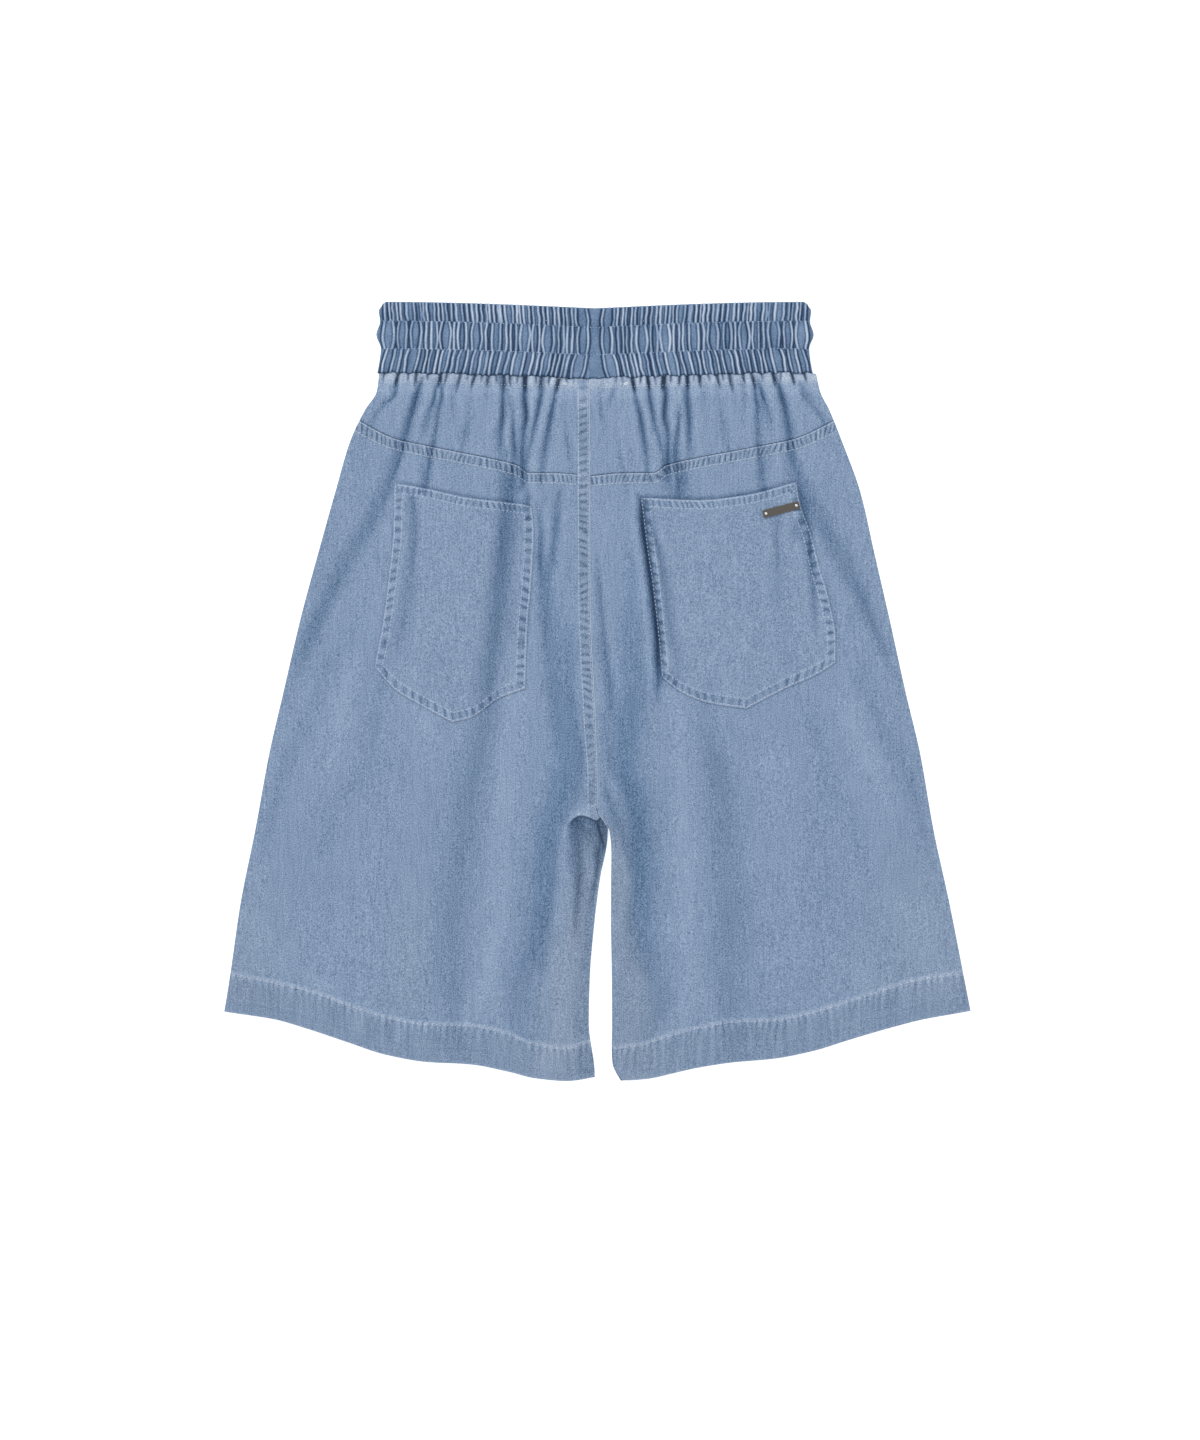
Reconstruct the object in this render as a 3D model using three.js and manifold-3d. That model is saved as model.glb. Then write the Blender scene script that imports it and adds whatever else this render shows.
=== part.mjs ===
// Wide-leg denim shorts with a gathered elastic waistband, laid flat with the back facing up.
// Millimetres, +Z up. +Y runs towards the waist, +X to the right of someone looking down on the back.
// The origin is on the surface that the shorts lie on, under the middle of their outline.
// The two front panels lie flat on that surface, and the back lies on them with its folds raised.
import * as THREE from "three";
import { mergeVertices } from "three/addons/utils/BufferGeometryUtils.js";
import Module from "manifold-3d";

const wasm = await Module();
wasm.setup();

// Rows of numbers as objects, with one name for each column.
function table(names, rows) {
  return rows.map((row) => Object.fromEntries(names.map((name, i) => [name, row[i]])));
}

const LEFT = -1;
const RIGHT = 1;
const BOTH = 0;

// Cloth
const CLOTH = 1.3; // wall of one ply of denim
const HEM_CLOTH = 1.9; // turned-up hem, two plies
const SEAM_GAP = 0.3; // between pieces that are sewn together
const FRONT_CLOTH = 1.2; // wall of the front panels
const BACK_REST = FRONT_CLOTH + SEAM_GAP; // height at which the back lies on the front
const FELL_WIDTH = 9.6; // flat-felled centre seam, between its edge and the panel
const YOKE_FELL = 7.6; // flat-felled yoke seam
const FELL_RISE = 0.6; // extra plies of a felled seam
const FELL_EDGE = 0.5; // run-out of that rise
const MIDDLE = -2; // x of the line that the gathers mirror about

// Drape
const CROWN = 2.2; // how far the middle of a panel stands off the front
const MOST_RISE = 3.7; // highest fold, over where the back rests
const SIDE_RUN = 20; // width over which the back comes down to its side seam
const INSEAM_RUN = 13; // the same at the inseam
const HEM_CALM = 0.7; // share of the crown that is left at the hem

// Mesh
const COLUMNS = 30; // from the inner edge of a back panel to its side seam
const YOKE_ROWS = 7;
const HEM_ROWS = 2;
const FRONT_COLUMNS = 12;
// Where the rows of both legs' meshes meet their inner edge. They crowd at the crotch, where it turns.
const LEG_LEVELS = [146, 118, 92, 64, 36, 8, -22, -50, -76, -94, -103, -110, -122, -150, -190, -235];
const FRONT_LEVELS = [200, 120, 40, -50, -94, -103, -110, -122, -150, -190, -235];

// The side seam's place at each side, down the length of the shorts.
const SIDE_SEAM = table(
  ["y", "left", "right"],
  [
    [256, -174.8, 174.8],
    [240, -177, 178.5],
    [226, -186, 185.5],
    [200, -198.3, 196],
    [160, -210, 210.5],
    [110, -224, 222],
    [60, -237.5, 233.5],
    [0, -251.5, 246.7],
    [-50, -263, 258.5],
    [-110, -274, 269],
    [-170, -286, 282],
    [-230, -294.7, 293.8],
    [-257, -299.1, 299.1],
  ],
);

// The centre seam down to the crotch, then the middle of the gap between the inseams.
const CENTRE = table(
  ["y", "x", "gap"],
  [
    [256, -6.6, SEAM_GAP],
    [73, -6, SEAM_GAP],
    [-29, -1.6, SEAM_GAP],
    [-70, -0.4, SEAM_GAP],
    [-94, -0.4, SEAM_GAP],
    [-103, 4, SEAM_GAP],
    [-110, 8.8, 1.2],
    [-120, 8.5, 4.2],
    [-150, 5.7, 10.2],
    [-190, 3.2, 15.2],
    [-230, 1.9, 19],
    [-265, 1.6, 20],
    [-298, 3.9, 16.2],
    [-312, 7.6, 22],
  ],
);

// The yoke seam's height at a distance out from the middle line. A fold hides a stretch of it near 54.
const YOKE_SEAM = table(
  ["out", "y"],
  [
    [0, 171.8],
    [26, 174.8],
    [49, 175.2],
    [58, 181.2],
    [80, 186.8],
    [125, 196],
    [155, 202.6],
    [190, 217.5],
  ],
);
const YOKE_SEAM_REACH = { inner: 4, outer: 189 };

// Top (fold) and bottom (edge) of the turned-up hem at a distance out from the middle of the shorts.
const HEM = table(
  ["out", "leftFold", "leftEdge", "rightFold", "rightEdge"],
  [
    [8, -279.2, -309, -284.4, -311.8],
    [30, -284.4, -311.8, -282, -310.2],
    [55, -280.5, -309.5, -273.8, -305.5],
    [75, -271.6, -304.4, -268.6, -301.4],
    [105, -266, -298.5, -263.2, -297],
    [138, -265, -296.6, -261.8, -294],
    [170, -259, -290.8, -255.4, -287.8],
    [200, -249.3, -280.6, -246.6, -278.6],
    [230, -239, -270.3, -237.4, -269.8],
    [258, -232.4, -262.2, -229.6, -262.6],
    [297, -225.2, -256.4, -224.2, -255.8],
  ],
);
const HEM_REACH = { inner: 8, outer: 297 };

// Folds of the back: the line of each runs through three points, out from the middle line and up the
// shorts. width is half the fold's width, and rise how far it dips or stands. start and stop are the
// shares of its length over which it comes in and fades.
const FOLDS = table(
  ["side", "topOut", "topY", "midOut", "midY", "endOut", "endY", "width", "rise", "start", "stop"],
  [
    // Gathers below the waistband, from the side to the centre
    [BOTH, 156, 256, 162, 236, 175, 210, 4, -2.6, 0, 0.5],
    [BOTH, 138, 256, 150, 214, 163, 160, 5, -3.4, 0, 0.3],
    [BOTH, 122, 256, 129, 216, 139, 160, 5, -3, 0, 0.3],
    [BOTH, 109, 256, 119, 231, 124, 210, 3.5, -1.8, 0, 0.5],
    [BOTH, 97, 256, 108, 228, 112, 196, 4, -1.8, 0, 0.5],
    [BOTH, 84, 256, 92, 232, 97, 211, 3.5, -1.5, 0, 0.5],
    [BOTH, 74, 256, 73.5, 224, 74, 192, 3.5, -2.5, 0, 0.4],
    [BOTH, 67, 218, 66, 202, 65, 186, 3, -1.6, 0.4, 0.4],
    [BOTH, 57, 256, 54.5, 225, 62, 178, 4.5, -3.4, 0, 0.2],
    [BOTH, 41, 256, 47.4, 223, 57, 184, 4, -2.4, 0, 0.4],
    [BOTH, 28.5, 256, 36.8, 219, 44, 168, 4, -3.2, 0, 0.4],
    [BOTH, 18, 256, 23, 217, 27, 182, 4, -1.3, 0, 0.5],
    // Long folds from the gathers down the legs
    [BOTH, 160, 178, 190, 105, 246, 0, 9, -2.1, 0.1, 0.6],
    [LEFT, 61, 190, 75, 105, 88, 8, 8, -2.8, 0.1, 0.3],
    [LEFT, 86, 35, 106, -95, 110, -275, 13, -1.9, 0.2, 0.3],
    [RIGHT, 60, 188, 65, 165, 68, 140, 7, -2.4, 0.1, 0.5],
    [RIGHT, 86, -10, 114, -110, 106, -262, 12, -2, 0.2, 0.3],
    [LEFT, 49, 168, 33, 62, 22, -35, 7, -2, 0.2, 0.2],
    [LEFT, 22, -5, 34, -92, 47, -155, 9, -3, 0.3, 0.3],
    [LEFT, 44, -125, 46, -190, 70, -270, 11, -2.3, 0.2, 0.3],
    [RIGHT, 5, 66, 14, 0, 27, -72, 6, -1.8, 0.3, 0.2],
    [RIGHT, 23, -45, 38, -104, 45, -158, 9, -3, 0.3, 0.3],
    [RIGHT, 44, -125, 43, -187, 70, -266, 11, -2.3, 0.2, 0.3],
    [RIGHT, 34, 160, 42, 80, 51, -14, 4, -3.2, 0.1, 0.2],
    [RIGHT, 168, 150, 175, 105, 180, 60, 5, -1.8, 0.3, 0.4],
    // Creases in the pockets
    [LEFT, 146, 165, 147, 118, 154, 62, 4.5, -1.4, 0.1, 0.5],
    [RIGHT, 146, 125, 148, 92, 144, 50, 6, -0.9, 0.3, 0.5],
    // Ridges
    [BOTH, 76, -10, 80, -140, 84, -290, 14, 1.5, 0.3, 0.2],
    [LEFT, 21, -104, 27, -165, 32, -240, 7, 1.8, 0.1, 0.5],
    [RIGHT, 20, -108, 21, -170, 27, -240, 7, 1.4, 0.1, 0.5],
    [BOTH, 168, 0, 177, -90, 186, -190, 14, -0.9, 0.4, 0.4],
    [BOTH, 182, 60, 205, -40, 222, -150, 15, 0.9, 0.4, 0.4],
  ],
);

// The cloth of the left leg drops under an arched lip at the crotch.
const LIP = { x: -6, y: -98, halfWidth: 19, sag: 14, run: 3.5 };
const HOLLOW = { depth: 3.6, from: -24, to: 12, edge: 6, fadeFrom: -112, fadeTo: -185 };

// Waistband
const BAND_HALF = 172; // half its width
const BAND_TOP = { centre: 306.8, rise: 5.2 };
const BAND_BOTTOM = { centre: 250, rise: 5 };
const BAND_CORNER = 5; // radius of its top corners
const FRONT_BAND = 3; // thickness: two plies and the elastic
const BACK_BAND = 2.5;
const BAND_REST = FRONT_BAND + SEAM_GAP;
const BAND_END = 7; // length over which its ends round down
const BAND_END_WALL = 0.9;
const GATHERS = 76;
const GATHER_RISE = 0.75;
const GATHER_SWAY = 0.28; // sideways wander of a gather, as a share of its width
// The lines across the band, from its top: how far down, how far the channel between two stitch lines
// puffs up and out, and how much of the gathers' height is left by the elastic's stitching.
const BAND_LINES = table(
  ["down", "puff", "bulge", "gather"],
  [
    [0, -0.7, -1, 0.8],
    [0.14, 0.9, 1, 1],
    [0.275, -0.3, 0, 0.5],
    [0.465, 1.5, 3, 1],
    [0.66, -0.3, -0.6, 0.5],
    [0.83, 1.1, 0.4, 1],
    [1, -0.4, 2.2, 0.5],
  ],
);

// Back pockets: corners and the points that their edges bow through, clockwise from the top left.
const POCKETS = {
  left: table(
    ["x", "y"],
    [
      [-162.8, 166.8], [-137, 162.4], [-104.4, 155.2], [-61.5, 150.1], [-52.4, 148.2], [-50.8, 128.4],
      [-52.9, 85.2], [-55.6, 56.6], [-57.6, 2.3], [-78.5, -5.5], [-101.4, -21.2], [-116.4, -24.8],
      [-142.9, -10.5], [-161.4, 0.9], [-178.6, 19.6], [-171.6, 56.6], [-167.1, 92.4], [-163.4, 130],
    ],
  ),
  right: table(
    ["x", "y"],
    [
      [34, 155.2], [80.4, 153.2], [116.4, 156.8], [159.6, 167.8], [162, 152.4], [170.6, 128.4],
      [177.7, 99.6], [186, 70.8], [190.6, 42.3], [190.6, 23], [173.4, 12.4], [152, 3],
      [130.6, -7.8], [119.1, -14], [104.9, -12.6], [87.6, -9.1], [66.3, -0.4], [51.3, 11.6],
      [47.6, 49.5], [43.4, 85.2], [39.1, 114],
    ],
  ),
};
const POCKET_CLOTH = 1.2;
const POCKET_HEIGHT = 30; // of the column that cuts a pocket out

// Metal plate on the right pocket, with a stud at each end
const PLATE = { x: 146.8, y: 145.4, length: 30, width: 6.2, thickness: 0.8, corner: 0.8, turn: 15 };
const PLATE_CLEAR = 0.35;
const STUD = { inset: 2.4, radius: 1.2, height: 0.6 };

const DENIM = { colour: 0x8196b3, roughness: 0.9, metalness: 0 };
const GATHERED_DENIM = { colour: 0x6b7e9b, roughness: 0.92, metalness: 0 };
const HEM_DENIM = { colour: 0x8293ae, roughness: 0.92, metalness: 0 };
const PLATE_METAL = { colour: 0x6a6459, roughness: 0.4, metalness: 0.9 };
const STUD_METAL = { colour: 0xd8d8d6, roughness: 0.25, metalness: 1 };

const lerp = THREE.MathUtils.lerp;
const smoothstep = THREE.MathUtils.smoothstep;

// One column of a table at a place between its rows, on a smooth curve that never overshoots them.
function read(table, key, column, at) {
  const last = table.length - 1;
  const way = Math.sign(table[last][key] - table[0][key]);
  if ((at - table[0][key]) * way <= 0) return table[0][column];
  if ((at - table[last][key]) * way >= 0) return table[last][column];
  let i = 0;
  while ((at - table[i + 1][key]) * way > 0) i++;
  const step = (k) => (table[k + 1][column] - table[k][column]) / (table[k + 1][key] - table[k][key]);
  const slope = (k) => {
    if (k === 0) return step(0);
    if (k === last) return step(last - 1);
    const before = step(k - 1);
    const after = step(k);
    return before * after <= 0 ? 0 : (2 * before * after) / (before + after);
  };
  const span = table[i + 1][key] - table[i][key];
  const t = (at - table[i][key]) / span;
  const change = table[i + 1][column] - table[i][column];
  const leave = slope(i) * span;
  const arrive = slope(i + 1) * span;
  const square = 3 * change - 2 * leave - arrive;
  const cube = leave + arrive - 2 * change;
  return table[i][column] + t * (leave + t * (square + t * cube));
}

// A repeatable wander between -1 and 1 for a numbered gather at a numbered line.
function wander(gather, line) {
  const turn = Math.sin(gather * 12.9898 + line * 78.233) * 43758.5453;
  return 2 * (turn - Math.floor(turn)) - 1;
}

const sideName = (side) => (side === LEFT ? "left" : "right");

function innerEdge(side, y) {
  return read(CENTRE, "y", "x", y) + (side * read(CENTRE, "y", "gap", y)) / 2;
}

function sideEdge(side, y) {
  return read(SIDE_SEAM, "y", sideName(side), y);
}

// The lines that pieces end at, each a height at a share of the way from the inner edge to the side.
function bandBottom(side, across) {
  return BAND_BOTTOM.centre + BAND_BOTTOM.rise * Math.sin((Math.PI / 2) * across);
}

function yokeSeam(side, across) {
  return read(YOKE_SEAM, "out", "y", lerp(YOKE_SEAM_REACH.inner, YOKE_SEAM_REACH.outer, across));
}

function hemFold(side, across) {
  return read(HEM, "out", sideName(side) + "Fold", lerp(HEM_REACH.inner, HEM_REACH.outer, across));
}

function hemEdge(side, across) {
  return read(HEM, "out", sideName(side) + "Edge", lerp(HEM_REACH.inner, HEM_REACH.outer, across));
}

// How far one fold lifts or dips the cloth at a point.
function foldHeight(fold, x, y) {
  const sideOfPoint = x < MIDDLE ? LEFT : RIGHT;
  if (fold.side !== BOTH && fold.side !== sideOfPoint) return 0;
  const t = (fold.topY - y) / (fold.topY - fold.endY);
  if (t < 0 || t > 1) return 0;
  const m = (fold.topY - fold.midY) / (fold.topY - fold.endY);
  const bend = (fold.midOut - lerp(fold.topOut, fold.endOut, m)) / (m * (1 - m));
  const line = lerp(fold.topOut, fold.endOut, t) + bend * t * (1 - t);
  const offset = (Math.abs(x - MIDDLE) - line) / fold.width;
  const comesIn = fold.start === 0 ? 1 : smoothstep(t, 0, fold.start);
  const fades = 1 - smoothstep(t, 1 - fold.stop, 1);
  return fold.rise * Math.exp(-offset * offset) * comesIn * fades;
}

// The dip under the arched lip at the crotch, on the left leg.
function crotchDrop(x, y) {
  const reach = (x - LIP.x) / LIP.halfWidth;
  const lipY = LIP.y - LIP.sag * reach * reach;
  const below = smoothstep(lipY - y, 0, LIP.run);
  const within = smoothstep(x, HOLLOW.from, HOLLOW.from + HOLLOW.edge) * (x < HOLLOW.to ? 1 : 0);
  const fade = 1 - smoothstep(HOLLOW.fadeFrom - y, 0, HOLLOW.fadeFrom - HOLLOW.fadeTo);
  return HOLLOW.depth * below * within * fade;
}

// Height of the underside of the back at a point.
function drape(x, y) {
  const side = x < innerEdge(LEFT, y) + 1 ? LEFT : RIGHT;
  const fromSide = smoothstep(side * (sideEdge(side, y) - x), 0, SIDE_RUN);
  const fromInseam = smoothstep(side * (x - innerEdge(side, y)), 0, INSEAM_RUN);
  const belowCrotch = smoothstep(-y, 96, 118);
  const edge = fromSide * lerp(1, fromInseam, belowCrotch);
  const calm = lerp(1, HEM_CALM, smoothstep(-y, 120, 300));
  let rise = CROWN * calm;
  for (const fold of FOLDS) rise += foldHeight(fold, x, y);
  if (side === LEFT) rise -= crotchDrop(x, y);
  return BACK_REST + edge * THREE.MathUtils.clamp(rise, 0, MOST_RISE);
}

// A closed wall over a grid of points, each with the heights of its lower and upper face.
function closedWall(rows, columns, pointAt) {
  const positions = [];
  const faces = [];
  const width = columns + 1;
  const level = (rows + 1) * width;
  for (const face of ["upper", "lower"]) {
    for (let i = 0; i <= rows; i++) {
      for (let j = 0; j <= columns; j++) {
        const p = pointAt(i, j);
        positions.push(p.x, p.y, p[face]);
      }
    }
  }
  const quad = (a, b, c, d) => faces.push(a, b, c, a, c, d);
  for (let i = 0; i < rows; i++) {
    for (let j = 0; j < columns; j++) {
      const a = i * width + j;
      quad(a, a + width, a + width + 1, a + 1);
      quad(level + a, level + a + 1, level + a + width + 1, level + a + width);
    }
  }
  for (let j = 0; j < columns; j++) {
    const top = j;
    const bottom = rows * width + j;
    quad(top, top + 1, level + top + 1, level + top);
    quad(bottom, level + bottom, level + bottom + 1, bottom + 1);
  }
  for (let i = 0; i < rows; i++) {
    const start = i * width;
    const end = start + columns;
    quad(start, level + start, level + start + width, start + width);
    quad(end, end + width, level + end + width, level + end);
  }
  return orient(positions, faces);
}

// A geometry from points and faces, with its faces turned outwards.
function orient(positions, faces) {
  let volume = 0;
  const at = (i) => new THREE.Vector3().fromArray(positions, 3 * i);
  for (let i = 0; i < faces.length; i += 3) {
    volume += at(faces[i]).dot(at(faces[i + 1]).cross(at(faces[i + 2])));
  }
  if (volume < 0) faces.reverse();
  const geometry = new THREE.BufferGeometry();
  geometry.setAttribute("position", new THREE.Float32BufferAttribute(positions, 3));
  geometry.setIndex(faces);
  geometry.computeVertexNormals();
  return geometry;
}

// Shares of the way over a panel, with two narrow steps at the edge of a felled seam.
function columnShare(j, width) {
  if (j === 0) return 0;
  if (j === 1) return FELL_WIDTH / width;
  return lerp((FELL_WIDTH + FELL_EDGE) / width, 1, (j - 2) / (COLUMNS - 2));
}

// Shares of the way down a leg, from its top to its bottom, for rows at given heights of its inner edge.
function rowShares(side, levels, top, bottom) {
  const length = top(side, 0) - bottom(side, 0);
  return [0, ...levels.map((y) => (top(side, 0) - y) / length), 1];
}

// A point of a piece, from the lines at its top and bottom.
function pointBetween(side, across, down, top, bottom) {
  const y = lerp(top(side, across), bottom(side, across), down);
  return { x: lerp(innerEdge(side, y), sideEdge(side, y), across), y };
}

// A point of a back piece, in one of its columns at a share of the way down.
function backPoint(side, j, down, top, bottom) {
  const guess = pointBetween(side, j / COLUMNS, down, top, bottom);
  const width = Math.abs(sideEdge(side, guess.y) - innerEdge(side, guess.y));
  return pointBetween(side, columnShare(j, width), down, top, bottom);
}

const legTop = (side, across) => yokeSeam(side, across) - SEAM_GAP / 2;
const legBottom = (side, across) => hemFold(side, across) + SEAM_GAP / 2;
const yokeTop = (side, across) => bandBottom(side, across) - SEAM_GAP;
const yokeBottom = (side, across) => yokeSeam(side, across) + SEAM_GAP / 2;
const hemTop = (side, across) => hemFold(side, across) - SEAM_GAP / 2;

// The felled centre seam lies on the left panels, above the crotch.
function centreFell(side, j, y) {
  return side === LEFT && j <= 1 && y > LIP.y ? FELL_RISE : 0;
}

// Heights where the felled yoke seam ends, at the inner edge.
const FELL_LEVELS = [legTop(LEFT, 0) - YOKE_FELL, legTop(LEFT, 0) - YOKE_FELL - FELL_EDGE];
const LEG_ROWS = FELL_LEVELS.length + LEG_LEVELS.length + 1;
const LEG_SHARES = {
  [LEFT]: rowShares(LEFT, [...FELL_LEVELS, ...LEG_LEVELS], legTop, legBottom),
  [RIGHT]: rowShares(RIGHT, [...FELL_LEVELS, ...LEG_LEVELS], legTop, legBottom),
};

function legPoint(side, i, j) {
  const p = backPoint(side, j, LEG_SHARES[side][i], legTop, legBottom);
  const lower = drape(p.x, p.y);
  const fell = Math.max(i <= 1 ? FELL_RISE : 0, centreFell(side, j, p.y));
  return { ...p, lower, upper: lower + CLOTH + fell };
}

function legBack(side) {
  return closedWall(LEG_ROWS, COLUMNS, (i, j) => legPoint(side, i, j));
}

function yokeBack(side) {
  return closedWall(YOKE_ROWS, COLUMNS, (i, j) => {
    const p = backPoint(side, j, i / YOKE_ROWS, yokeTop, yokeBottom);
    const lower = drape(p.x, p.y);
    return { ...p, lower, upper: lower + CLOTH + centreFell(side, j, p.y) };
  });
}

function hemBack(side) {
  return closedWall(HEM_ROWS, COLUMNS, (i, j) => {
    const p = backPoint(side, j, i / HEM_ROWS, hemTop, hemEdge);
    const lower = drape(p.x, p.y);
    return { ...p, lower, upper: lower + HEM_CLOTH };
  });
}

// The front pieces lie flat, so they are plain plates of cloth.
function frontPlate(side, levels, top, bottom) {
  const shares = rowShares(side, levels, top, bottom);
  return closedWall(shares.length - 1, FRONT_COLUMNS, (i, j) => {
    const p = pointBetween(side, j / FRONT_COLUMNS, shares[i], top, bottom);
    return { ...p, lower: 0, upper: FRONT_CLOTH };
  });
}

// A point of the waistband at one of its lines, and at a share from its left end to its right end.
function bandPoint(line, along) {
  const from = 2 * along - 1;
  const rounded = Math.sin((Math.PI / 2) * Math.abs(from));
  const top = BAND_TOP.centre + BAND_TOP.rise * rounded;
  const bottom = BAND_BOTTOM.centre + BAND_BOTTOM.rise * rounded;
  const half = BAND_HALF + line.bulge;
  let y = lerp(top, bottom, line.down);
  const intoCorner = Math.abs(from) * half - (half - BAND_CORNER);
  if (line.down === 0 && intoCorner > 0) {
    y -= BAND_CORNER - Math.sqrt(Math.max(0, BAND_CORNER ** 2 - intoCorner ** 2));
  }
  return { x: MIDDLE + from * half, y, fromEnd: half * (1 - Math.abs(from)) };
}

// The back of the waistband: a gathered upper face over a plain inside.
function bandBack() {
  const columns = 2 * GATHERS;
  const rows = BAND_LINES.length - 1;
  const positions = [];
  const faces = [];
  const rim = [];
  const quad = (a, b, c, d) => faces.push(a, b, c, a, c, d);
  BAND_LINES.forEach((line, i) => {
    for (let j = 0; j <= columns; j++) {
      const atEnd = j === 0 || j === columns;
      const sway = atEnd ? 0 : GATHER_SWAY * wander(j, i) * (j % 2 ? 1 : 0.5);
      const p = bandPoint(line, (j + sway) / columns);
      const crest = j % 2 ? 1 : -1;
      const full = BACK_BAND + line.puff + crest * GATHER_RISE * line.gather;
      const end = Math.sqrt(Math.min(1, p.fromEnd / BAND_END));
      const height = lerp(BAND_END_WALL, full, end);
      positions.push(p.x, p.y, BAND_REST + Math.max(BAND_END_WALL, height));
    }
  });
  const width = columns + 1;
  for (let i = 0; i < rows; i++) {
    for (let j = 0; j < columns; j++) {
      const a = i * width + j;
      quad(a, a + width, a + width + 1, a + 1);
    }
  }
  for (let j = 0; j <= columns; j++) rim.push(j);
  for (let i = 1; i <= rows; i++) rim.push(i * width + columns);
  for (let j = columns - 1; j >= 0; j--) rim.push(rows * width + j);
  for (let i = rows - 1; i > 0; i--) rim.push(i * width);
  const floor = positions.length / 3;
  for (const k of rim) positions.push(positions[3 * k], positions[3 * k + 1], BAND_REST);
  rim.forEach((k, n) => {
    const next = (n + 1) % rim.length;
    quad(k, rim[next], floor + next, floor + n);
  });
  const contour = rim.map((k) => new THREE.Vector2(positions[3 * k], positions[3 * k + 1]));
  for (const [a, b, c] of THREE.ShapeUtils.triangulateShape(contour, [])) {
    faces.push(floor + a, floor + c, floor + b);
  }
  return orient(positions, faces);
}

function bandFront() {
  return closedWall(BAND_LINES.length - 1, FRONT_COLUMNS, (i, j) => {
    const p = bandPoint(BAND_LINES[i], j / FRONT_COLUMNS);
    return { x: p.x, y: p.y, lower: 0, upper: FRONT_BAND };
  });
}

// A geometry as a solid that can be cut, and back.
function toSolid(geometry) {
  const bare = geometry.clone();
  bare.deleteAttribute("normal");
  bare.deleteAttribute("uv");
  const merged = mergeVertices(bare);
  return new wasm.Manifold(
    new wasm.Mesh({
      numProp: 3,
      vertProperties: merged.getAttribute("position").array,
      triVerts: new Uint32Array(merged.index.array),
    }),
  );
}

function fromSolid(solid) {
  const mesh = solid.getMesh();
  const geometry = new THREE.BufferGeometry();
  geometry.setAttribute("position", new THREE.BufferAttribute(new Float32Array(mesh.vertProperties), 3));
  geometry.setIndex(new THREE.BufferAttribute(new Uint32Array(mesh.triVerts), 1));
  geometry.computeVertexNormals();
  return geometry;
}

// A pocket is the leg's own surface moved out by a seam gap, cut to the pocket's outline.
function pocket(side) {
  const layer = closedWall(LEG_ROWS, COLUMNS, (i, j) => {
    const p = legPoint(side, i, j);
    return { x: p.x, y: p.y, lower: p.upper + SEAM_GAP, upper: p.upper + SEAM_GAP + POCKET_CLOTH };
  });
  const outline = new THREE.Shape(POCKETS[sideName(side)].map((p) => new THREE.Vector2(p.x, p.y)));
  const column = new THREE.ExtrudeGeometry(outline, { depth: POCKET_HEIGHT, bevelEnabled: false });
  return fromSolid(toSolid(layer).intersect(toSolid(column)));
}

// Height of the right pocket's outer face at a point.
function pocketTop(x, y) {
  return drape(x, y) + CLOTH + SEAM_GAP + POCKET_CLOTH;
}

// The plate's place: turned in plan, tilted as the cloth under it, and lifted just clear of it.
function plateFrame() {
  const turn = THREE.MathUtils.degToRad(PLATE.turn);
  const along = { x: Math.cos(turn), y: Math.sin(turn) };
  const height = (s, w) => {
    const x = PLATE.x + s * along.x - w * along.y;
    return pocketTop(x, PLATE.y + s * along.y + w * along.x);
  };
  const reach = PLATE.length / 2;
  const slope = (height(reach, 0) - height(-reach, 0)) / PLATE.length;
  let lift = 0;
  for (const share of [-1, -0.5, 0, 0.5, 1]) {
    for (const edge of [-1, 1]) {
      const over = height(share * reach, (edge * PLATE.width) / 2) - slope * share * reach;
      lift = Math.max(lift, over);
    }
  }
  const group = new THREE.Group();
  group.position.set(PLATE.x, PLATE.y, lift + PLATE_CLEAR);
  group.rotation.set(0, -Math.atan(slope), turn, "ZYX");
  return group;
}

function plate() {
  const { length, width, corner } = PLATE;
  const shape = new THREE.Shape();
  const x = length / 2 - corner;
  const y = width / 2 - corner;
  shape.absarc(x, y, corner, 0, Math.PI / 2, false);
  shape.absarc(-x, y, corner, Math.PI / 2, Math.PI, false);
  shape.absarc(-x, -y, corner, Math.PI, 1.5 * Math.PI, false);
  shape.absarc(x, -y, corner, 1.5 * Math.PI, 2 * Math.PI, false);
  return new THREE.ExtrudeGeometry(shape, {
    depth: PLATE.thickness,
    bevelEnabled: false,
    curveSegments: 4,
  });
}

function stud() {
  const profile = [new THREE.Vector2(0, 0), new THREE.Vector2(STUD.radius, 0)];
  for (const angle of [30, 60, 90]) {
    const turn = THREE.MathUtils.degToRad(angle);
    const out = angle === 90 ? 0 : STUD.radius * Math.cos(turn);
    profile.push(new THREE.Vector2(out, STUD.height * Math.sin(turn)));
  }
  return new THREE.LatheGeometry(profile, 12).rotateX(Math.PI / 2);
}

function piece(name, geometry, look) {
  const material = new THREE.MeshStandardMaterial({
    color: look.colour,
    roughness: look.roughness,
    metalness: look.metalness,
  });
  const mesh = new THREE.Mesh(geometry, material);
  mesh.name = name;
  return mesh;
}

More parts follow.
